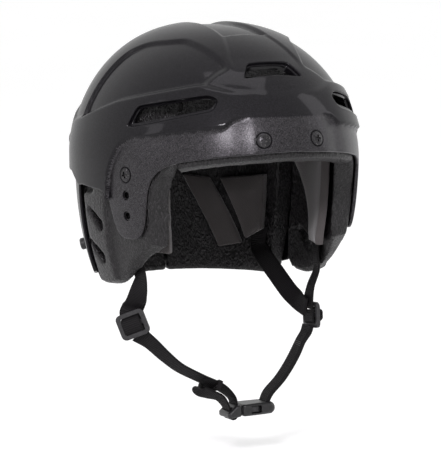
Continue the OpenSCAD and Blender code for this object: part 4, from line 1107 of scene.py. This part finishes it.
def gloss_paint():
    """Gloss charcoal lacquer over a fine metallic ground, with a few dull rubbed spots."""
    p = Paint("shell_gloss")
    flake = p.make("ShaderNodeSeparateColor", {"Color": p.cells(0.3, output="Color")}).outputs[0]
    tone = p.blend(p.ramp(flake, 0.5, 1.0), (0.0045, 0.0041, 0.0051), (0.017, 0.0155, 0.0184))
    rubbed = p.ramp(p.noise(28, 3), 0.56, 0.72)
    p.set(Base_Color=p.blend(p.sum(rubbed, 0.35, "MULTIPLY"), tone, (0.011, 0.0102, 0.0118)), Metallic=0.2,
          Roughness=p.ramp(p.noise(0.8, 3), 0.3, 0.7, 0.4, 0.5), Specular_IOR_Level=0.03)
    p.set(Coat_Weight=0.34, Coat_Roughness=0.08, Coat_IOR=1.45)
    return p.finish(p.noise(0.9, 2), 0.003)


def satin_paint():
    """Fine grained metallic satin of the brow and temple panel."""
    p = Paint("shell_satin")
    flake = p.make("ShaderNodeSeparateColor", {"Color": p.cells(0.34, output="Color")}).outputs[0]
    tone = p.blend(p.ramp(flake, 0.45, 1.0), (0.01, 0.009, 0.0104), (0.075, 0.071, 0.077))
    p.set(Base_Color=tone, Metallic=0.75, Roughness=p.ramp(p.noise(0.6, 4), 0.3, 0.7, 0.34, 0.46),
          Specular_IOR_Level=0.2)
    p.set(Coat_Weight=0.3, Coat_Roughness=0.3, Coat_IOR=1.4)
    grain = p.sum(p.ramp(p.cells(0.5), 0, 0.7), p.noise(0.6, 4))
    return p.finish(grain, 0.035)


# How far the foam's dashes stray, and the grain of it, in millimetres
STRAY, STRAY_GRAIN = 2, 5


def foam_material():
    """Moulded bead foam: short crossed dashes pressed into its skin over soft beads."""
    p = Paint("bead_foam")
    stray = p.make("ShaderNodeTexNoise", {"Vector": p.coords["Object"], "Scale": 1 / (STRAY_GRAIN * MM),
                                          "Detail": 1})
    shift = p.make("ShaderNodeVectorMath", {0: stray.outputs["Color"], "Scale": STRAY * MM}, operation="SCALE")
    base = p.make("ShaderNodeVectorMath", {0: p.coords["Object"], 1: shift.outputs["Vector"]}).outputs[0]
    dashes = []
    for side in (1, -1):
        way = p.turned((0, 34 * side, 24 * side), (1, 1, 0.4), base)
        dashes.append(p.ramp(p.cells(1.15, way, "SMOOTH_F1"), 0.12, 0.55, 1, 0))
    patch = p.ramp(p.noise(3, 1), 0.48, 0.52)
    raised = p.make("ShaderNodeMix", {0: patch, 2: dashes[0], 3: dashes[1]}, data_type="FLOAT").outputs[0]
    beads = p.ramp(p.cells(3.8, feature="SMOOTH_F1"), 0.1, 0.75, 1, 0)
    height = p.sum(raised, p.sum(beads, 0.3, "MULTIPLY"))
    # Painted highlight on the raised dashes and painted shade between them: the tone is lighter where the
    # dashes stand out.
    tone = p.blend(p.ramp(raised, 0.05, 0.85), (0.0034, 0.003, 0.0033), (0.021, 0.019, 0.0205))
    p.set(Base_Color=tone, Roughness=p.ramp(p.noise(1.6, 3), 0.3, 0.7, 0.34, 0.5), Specular_IOR_Level=0.3)
    return p.finish(height, 0.55)


def pad_material():
    """Grey knit face of the comfort pads, with a fine slanted rib."""
    p = Paint("pad_fabric")
    ribs = [p.wave(0.8, p.turned((0, turn, 0)), 1.2) for turn in (34, -56)]
    knit = p.sum(ribs[0], ribs[1], "MULTIPLY")
    fuzz = p.noise(0.4, 3)
    # Partly painted shade: the tone is darker in the grooves of the knit's ribs; the fuzz and the broad
    # patches are random tone.
    tone = p.blend(p.ramp(p.sum(knit, fuzz), 0.3, 1.4), (0.05, 0.045, 0.045), (0.125, 0.115, 0.112))
    tone = p.blend(p.ramp(p.noise(18, 3), 0.35, 0.65, 0, 0.4), tone, (0.066, 0.06, 0.059))
    p.set(Base_Color=tone, Roughness=0.92, Sheen_Weight=0.3, Sheen_Roughness=0.5, Specular_IOR_Level=0.2)
    return p.finish(p.sum(knit, p.sum(fuzz, 0.4, "MULTIPLY")), 0.13)


# Where the ribs fade, from the middle of the webbing
SELVEDGE = (6.0, 6.6)


def web_material():
    """Black ribbed webbing: painted shade between the ribs, warp threads along it, plainer at its edges."""
    p = Paint("webbing")
    uv = p.make("ShaderNodeSeparateXYZ", {"Vector": p.coords["UV"]}).outputs
    ribs = p.ramp(p.sum(p.sum(uv[1], 2 * math.pi / (RIB_PITCH * MM), "MULTIPLY"), op="SINE"), -1, 1)
    warp = p.wave(0.6, p.coords["UV"], 0.4)
    edge = p.ramp(p.sum(uv[0], op="ABSOLUTE"), SELVEDGE[0] * MM, SELVEDGE[1] * MM)
    height = p.sum(p.sum(ribs, p.ramp(edge, 0, 1, 1, 0.3), "MULTIPLY"), p.sum(warp, 0.25, "MULTIPLY"))
    # Painted shade: the tone is darker where the ribs and warp threads are low and lighter on their tops.
    tone = p.blend(p.ramp(height, 0.1, 1.1), (0.0014, 0.0012, 0.0014), (0.0105, 0.0092, 0.0104))
    p.set(Base_Color=tone, Roughness=0.62, Specular_IOR_Level=0.14)
    return p.finish(p.sum(warp, p.noise(0.3, 2)), 0.09)


def plastic_material(name, dark, light, rough):
    """Moulded plastic with a fine grain and paler rubbed places."""
    p = Paint(name)
    rubbed = p.ramp(p.noise(5, 4), 0.58, 0.74)
    tone = p.blend(p.ramp(p.noise(2.4, 4), 0.3, 0.7), dark, light)
    p.set(Base_Color=p.blend(p.sum(rubbed, 0.5, "MULTIPLY"), tone, [c * 1.9 for c in light]),
          Roughness=p.ramp(p.noise(0.7, 3), 0.3, 0.7, rough - 0.06, rough + 0.08), Specular_IOR_Level=0.4)
    return p.finish(p.sum(p.noise(0.35, 3), p.sum(p.noise(1.4, 2), 0.6, "MULTIPLY")), 0.02)


def steel_material():
    """Blackened screw steel with worn spots."""
    p = Paint("plated_steel")
    wear = p.ramp(p.noise(1.0, 4), 0.56, 0.72)
    p.set(Base_Color=p.blend(wear, (0.035, 0.034, 0.036), (0.16, 0.155, 0.15)), Metallic=1.0,
          Roughness=p.ramp(p.noise(0.6, 3), 0.3, 0.7, 0.26, 0.44))
    return p.finish(p.noise(0.4, 3), 0.01)


def thread_material():
    """Twisted sewing thread."""
    p = Paint("sewing_thread")
    twist = p.wave(0.35, p.turned((0, 40, 30)), 0.3)
    # Painted shade along the twist: the tone is darker in its grooves and lighter on its strands.
    p.set(Base_Color=p.blend(twist, (0.03, 0.029, 0.03), (0.11, 0.107, 0.105)), Roughness=0.5,
          Specular_IOR_Level=0.5)
    return p.finish(twist, 0.06)


GLOSS, SATIN, FOAM_SKIN, PAD_CLOTH = gloss_paint(), satin_paint(), foam_material(), pad_material()
WEB, STEEL, THREAD = web_material(), steel_material(), thread_material()
NYLON = plastic_material("slider_nylon", (0.012, 0.0115, 0.0125), (0.024, 0.023, 0.025), 0.4)
ACETAL = plastic_material("buckle_acetal", (0.006, 0.0058, 0.0063), (0.014, 0.0135, 0.0145), 0.36)


# Straps, sliders and buckle: the same frames as in the part's source
STRAP_A, STRAP_Z = 70, -66
SLIDER_L, SLIDER_T, SLIDER_BAR, SLIDER_RIM = 21, 2.8, 3.6, 3.6
SLIDERS = {"right": ((-78, -6, -143), (-0.6, -0.8, 0), 22), "left": ((74.8, -18, -142.9), (1, 0.05, 0), -4)}
OVER_BAR = SLIDER_T / 2 + WEB_T / 2 + 0.4
SLOT_OUT = SLIDER_L / 2 - SLIDER_RIM
STRAP_PILE = OVER_BAR + WEB_T + 3
BUCKLE_L, BUCKLE_T = 42, 9.6
BUCKLE_C = np.array([19.3, -13.5, -216.4])
BUCKLE_X = unit(np.array([52, -1.8, 1.6]))
BUCKLE_Y = unit(np.cross([0, 0.03, 1], BUCKLE_X))
BUCKLE_Z = np.cross(BUCKLE_X, BUCKLE_Y)
HALF_L = BUCKLE_L / 2
LADDER_IN, LADDER_OUT = 2 - HALF_L + 3 + 2.6 + 1.5, 2 - HALF_L + 1.5


def slider_dirs(side):
    """Width, length and outward direction of a slider."""
    _, n, tilt = SLIDERS[side]
    n = unit(np.array(n, float))
    r = unit(np.cross([0, 0, 1], n))
    w = r * math.cos(math.radians(tilt)) + np.array([0, 0, 1]) * math.sin(math.radians(tilt))
    return w, np.cross(n, w), n


def on_slider(side, u, d):
    """Place along a slider's length and out of its face."""
    _, up, n = slider_dirs(side)
    return np.array(SLIDERS[side][0]) + up * u + n * d


def on_buckle(x, z):
    return BUCKLE_C + BUCKLE_X * x + BUCKLE_Z * z


def on_side_foam(a, z):
    return at(a, z, side_in(a, z) - STRAP_GAP - WEB_T / 2)


def on_nape_foam(a, z):
    return at(a, z, foam_in(a) - STRAP_GAP - WEB_T / 2)


def flip(p):
    return np.asarray(p) * [-1, 1, 1]


def slider_way(side):
    """Way of a front strap over a slider's bar and back up behind it."""
    rise = OVER_BAR + (3.0 if side == "left" else 0.9)
    steps = [(SLOT_OUT + 3, -OVER_BAR - 0.2), (SLOT_OUT - 0.3, -OVER_BAR), (SLOT_OUT - 1.2, 0),
             (SLIDER_BAR / 2 + 1.4, rise - 0.5), (0, rise), (-SLIDER_BAR / 2 - 1.6, rise - 0.5),
             (0.5 - SLOT_OUT, 0.2), (1.6 - SLOT_OUT, -OVER_BAR + 0.2), (0, -OVER_BAR - 0.1),
             (SLOT_OUT - 2.6, -OVER_BAR + 0.3)]
    return [on_slider(side, *p) for p in steps]


CHIN_SPLIT = 0.43


def add_straps():
    """All webbing, with the right chin webbing made in two pieces."""
    lw, rw = slider_dirs("left")[0], -slider_dirs("right")[0]
    start = [on_side_foam(STRAP_A, STRAP_Z + 4), on_side_foam(STRAP_A, -84), on_side_foam(STRAP_A - 1.5, -96)]
    left = webbing("left_front_webbing", start + [(78.6, -19.5, -106), (74.5, -17, -120)] + slider_way("left"),
                   [(0.2, 0.98, 0)] * 4 + [(0.1, 1, 0)] + [lw] * 10, crush=SLIDERS["left"][0])
    right = webbing("right_front_webbing", [flip(p) for p in start] + [
                    (-77.2, -20.3, -107), (-76.6, -11, -121), (-77.4, -3.4, -128.6)] + slider_way("right"),
                    [(-0.2, 0.98, 0)] * 3 + [(-0.25, 0.96, 0), (-0.7, 0.7, -0.1), (-0.74, 0.6, -0.3)] +
                    [rw] * 10, crush=SLIDERS["right"][0])
    for piece, side in ((left, "left"), (right, "right")):
        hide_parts(f"{side}_front_strap")
        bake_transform(piece)
    nape = [on_nape_foam(STUD_A, STUD_Z + 7), on_nape_foam(STUD_A + 0.5, -93)]
    left = webbing("left_rear_webbing", nape + [(64.8, 49, -102), (69, 34, -115.5), (70.8, 16, -127),
                   (70.6, 3, -131.5), (69.2, -8, -134), (68, -21, -136.3)],
                   [(-0.49, 0.87, 0), (-0.49, 0.87, -0.05), (-0.72, 0.4, -0.56), (-0.77, 0.31, -0.56),
                    (-0.74, 0.34, -0.58), (-0.55, 0.4, -0.7), (-0.3, 0.3, -0.9), (-0.1, 0.3, -0.95)])
    right = webbing("right_rear_webbing", [flip(p) for p in nape] + [(-58.5, 46, -101), (-59, 27, -108.5),
                    (-62.5, 12, -119), (-67.5, 4, -128), on_slider("right", SLOT_OUT - 1, -STRAP_PILE)],
                    [(0.49, 0.87, 0), (0.49, 0.87, -0.05), (0.5, 0.6, -0.5), (0.3, 0.5, -0.6), (0, 0.6, -0.6),
                     (-0.4, 0.6, -0.4), rw])
    for piece, side, s in ((left, "left", 1), (right, "right", -1)):
        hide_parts(f"{side}_rear_strap")
        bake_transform(piece)
    chin = webbing("left_chin_webbing", [
                   on_slider("left", 2 - SLIDER_L / 2, -OVER_BAR - 0.9), (69.5, -18.6, -157), (65, -18, -164),
                   (60.3, -17.5, -173.6), (54.3, -17, -183.8), (47, -16, -194.2), (37.5, -14.8, -204.5),
                   on_buckle(HALF_L - 4 - 2.1, BUCKLE_T / 2 - 1)],
                   [lw] * 2 + [(0.05, 1, 0)] + [(0, 1, 0)] * 4 + [BUCKLE_Y], layers=2)
    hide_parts("left_chin_strap")
    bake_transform(chin)
    way = [on_slider("right", 2 - SLIDER_L / 2, -OVER_BAR - 1.3), (-63.5, -8, -158.5), (-50.7, -9, -170.5),
           (-38.8, -10, -180), (-21.6, -11, -189.2), (-4.3, -12, -197.7), (5.4, -12.8, -206.4),
           on_buckle(LADDER_IN, BUCKLE_T / 2 - 1.6)]
    wide = [rw, (-0.35, 0.8, -0.5), (-0.15, 0.85, -0.5), (0, 0.86, -0.5),
            (0, 0.88, -0.46), (0, 0.9, -0.44), (0, 0.97, -0.2), BUCKLE_Y]
    upper = webbing("right_chin_webbing_upper", way, wide, span=(0, CHIN_SPLIT))
    lower = webbing("right_chin_webbing_lower", way, wide, span=(CHIN_SPLIT, 1))
    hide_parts("right_chin_strap")
    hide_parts("right_chin_strap")
    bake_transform(upper)
    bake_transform(lower)
    tail = webbing("spare_webbing", [
        on_buckle(LADDER_IN, 0.6), on_buckle(LADDER_IN - 0.3, -BUCKLE_T / 2),
        on_buckle(LADDER_IN - 2.6, -BUCKLE_T / 2 - 1.8), on_buckle(LADDER_OUT + 0.4, -BUCKLE_T / 2 - 0.8),
        on_buckle(LADDER_OUT, 0.5), (-4.6, -12.8, -206.8),
        (-14.1, -12.4, -202.6), (-20.5, -12.3, -199.8), (-23.6, -12.3, -196.6), (-20.5, -12.3, -194),
        (-14.1, -12.3, -195.3), (-7.4, -12.3, -198.9)],
        [BUCKLE_Y] * 5 + [(0, 0.93, -0.35), (0, 0.84, -0.54)] + [(0, 0.76, -0.65)] * 5)
    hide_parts("strap_tail")
    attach(tail, "plug")
    add_stitches("spare_end_stitches", (-8.6, -12.3, -198.2), (6.7, 0, -3.6), (0, 0.76, -0.65), "plug",
                 WEB_T / 2 + 0.12)
    add_stitches("left_chin_stitches", (63.6, -17.9, -166.6), (-4.7, 0.5, -9.6), (0.03, 1, 0), "chin_loop",
                 WEB_T + 0.2)


STITCH_ROWS = (-2.0, -0.6, 0.8)
STITCH_PLACES = np.linspace(-0.36, 0.36, 7) * WEB_W


def add_stitches(name, place, way, across, body, lift):
    """Rows of stitches across a strap, on both of its faces."""
    way = unit(np.array(way, float))
    out = unit(np.cross(way, across))
    across = np.cross(out, way)
    points, outs = [], []
    for side in (-1, 1):
        for row in STITCH_ROWS:
            for k in STITCH_PLACES:
                points.append(np.array(place) + way * row + across * k + out * side * lift)
                outs.append(out * side)
    obj = marked_points(name, points, [across] * len(points), outs)
    grow(obj, STITCHES, material=THREAD)
    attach(obj, body)


def coat(data, material):
    """Gives the mesh this one material."""
    data.materials.clear()
    data.materials.append(material)


def stand_for(obj, node, body, material):
    """Lets the coated piece stand for a node and ride a body."""
    coat(obj.data, material)
    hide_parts(node)
    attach(obj, body)


def copy_node(name, node, body, material, voxel):
    """Piece with the node's shape and rounded, moulded edges."""
    obj = show(name, frame["nodes"][node].data.copy())
    weld(obj, 0.002)
    moulded(obj, voxel, 5)
    stand_for(obj, node, body, material)


def soft_piece(name, node, body, made, material, voxel, passes):
    """Moulded block that stands for a node."""
    (points, faces), cutters = made
    obj = add_mesh(name, points, faces, [])
    weld(obj, 0.01)
    moulded(obj, voxel, passes, cutters)
    stand_for(obj, node, body, material)
    return obj


def seen_directly(nodes):
    """1 for the lens, for reflections and for clear pieces, 0 for light that falls on the object."""
    rays = nodes.make("ShaderNodeLightPath").outputs
    lens = nodes.sum(rays["Is Camera Ray"], rays["Is Glossy Ray"], "MAXIMUM")
    return nodes.sum(lens, rays["Is Transmission Ray"], "MAXIMUM")


FLOOR_REACH, FLOOR_BELOW, FLOOR_GLOW = 40, 0.03, 0.55
WORLD_LEVEL, LAMP_TINT = 0.3, (1, 0.965, 1.02)
SKY_POWER, SKY_WIDE, SKY_TURN = 1.1, 100, (12, -6, 0)
# Name, place, size and power
LAMPS = [("key", (-0.92, -1.36, 0.88), (0.4, 0.3), 24.0), ("top", (-0.1, -0.2, 1.7), (1.2, 0.5), 4.0),
         ("left", (1.5, -0.45, 0.8), (0.35, 1.3), 2.8), ("right", (-1.7, 0.25, 0.6), (0.3, 1.2), 2.0)]


def add_stage():
    """Pale floor and soft studio light."""
    floor = bpy.data.meshes.new("floor")
    level = float(cad_box[0][2]) - FLOOR_BELOW
    corners = ((-1, -1), (1, -1), (1, 1), (-1, 1))
    floor.from_pydata([(x * FLOOR_REACH, y * FLOOR_REACH, level) for x, y in corners], [], [(0, 1, 2, 3)])
    p = Paint("floor_paper")
    tone = p.blend(p.ramp(p.noise(400), 0.3, 0.7), (0.6, 0.6, 0.6), (0.62, 0.62, 0.62))
    p.set(Base_Color=tone, Roughness=0.9, Emission_Color=(1, 1, 1, 1),
          Emission_Strength=p.sum(seen_directly(p), FLOOR_GLOW, "MULTIPLY"))
    floor.materials.append(p.material)
    show("floor", floor)
    world = bpy.data.worlds.new("studio")
    world.use_nodes = True
    nodes = Nodes(world.node_tree)
    level = nodes.make("ShaderNodeMapRange", {"Value": seen_directly(nodes), "To Min": WORLD_LEVEL})
    sky = nodes.tree.nodes["Background"].inputs
    nodes.plug(sky["Color"], (1, 1, 1, 1))
    nodes.plug(sky["Strength"], level.outputs["Result"])
    bpy.context.scene.world = world
    sun = bpy.data.lights.new("sky", "SUN")
    sun.energy = SKY_POWER
    sun.angle = math.radians(SKY_WIDE)
    lamp = show("sky", sun)
    lamp.rotation_euler = [math.radians(v) for v in SKY_TURN]
    lamp.visible_glossy = False
    for name, place, size, power in LAMPS:
        light = bpy.data.lights.new(name, "AREA")
        light.shape = "RECTANGLE"
        light.size, light.size_y = size
        light.energy = power
        light.color = LAMP_TINT
        lamp = show(name, light)
        lamp.location = place
        lamp.rotation_euler = Vector(place).to_track_quat("Z", "Y").to_euler()
    bpy.context.scene.view_settings.view_transform = "Standard"


def add_shells():
    for node, made, body in (("front_shell", front_shell(), "helmet"), ("rear_shell", rear_shell(), "rear")):
        obj = made.finish(node + "_skin", [GLOSS, SATIN])
        sharpen(obj, 70)
        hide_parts(node)
        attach(obj, body)


def add_foam():
    for name, made in (("brow_liner", brow_liner()), ("crown_liner", crown_liner()),
                       ("right_side_liner", side_liner(-1)), ("left_side_liner", side_liner(1)),
                       ("right_rear_liner", rear_liner(-1)), ("left_rear_liner", rear_liner(1))):
        body = "rear" if "rear" in name else "helmet"
        soft_piece(name + "_foam", name, body, made, FOAM_SKIN, 1.5, 9)


def add_pads():
    for name, (sides, place, base) in PADS.items():
        for side in sides:
            node = {-1: "right_", 0: "", 1: "left_"}[side] + name
            body = "rear" if "rear" in name else "helmet"
            obj = soft_piece(node + "_cloth", node, body, pad(side, place, base), PAD_CLOTH, 0.9, 5)
    soft_piece("crown_pad_cloth", "crown_pad", "helmet", crown_pad(), PAD_CLOTH, 1.1, 5)


# Turn of the first screw's recess and from screw to screw, in radians
RECESS_TURN, RECESS_STEP = 0.3, 1.1


def add_hardware():
    """Buckle, sliders, keeper, screws, and the looks of the nuts, studs and anchors."""
    for name, body, material, voxel in (
            ("buckle_socket", "chin_loop", ACETAL, 0.28), ("buckle_plug", "plug", ACETAL, 0.28),
            ("front_prong", "front_prong", NYLON, 0.28), ("back_prong", "back_prong", NYLON, 0.28),
            ("right_slider", "right_slider", NYLON, 0.28), ("left_slider", "left_slider", NYLON, 0.28),
            ("tail_keeper", "plug", WEB, 0.2)):
        copy_node(name + "_moulding", name, body, material, voxel)
    for name, places, long in (("front_screws", [(FRONT_SCREW_A, FRONT_SCREW_Z)], 8.0),
                               ("temple_screws", [(TEMPLE_A, TEMPLE_Z[0])], 8.0),
                               ("size_screws", SIZE_PLACES, 16.0)):
        spots = [seat_frame(s * a, z) for s in (-1, 1) for a, z in places]
        outs = [axes[2] for _, axes in spots]
        points = [origin + axes[2] * (HEAD_EDGE / 2 - SEAT_SINK) for origin, axes in spots]
        turns = [RECESS_TURN + RECESS_STEP * k for k in range(len(spots))]
        longs = [axes[0] * math.cos(t) + axes[1] * math.sin(t) for t, (_, axes) in zip(turns, spots)]
        obj = marked_points(name + "_turned", points, longs, outs)
        grow(obj, SCREWS, material=STEEL, shank_long=long)
        sharpen(obj, 35)
        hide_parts(name)
        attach(obj, "helmet")
    for name, node in frame["nodes"].items():
        if "nuts" in name:
            coat(node.data, STEEL)
        elif "stud" in name or "anchor" in name:
            coat(node.data, ACETAL)


add_camera()
add_stage()
add_shells()
add_foam()
add_pads()
add_straps()
add_hardware()
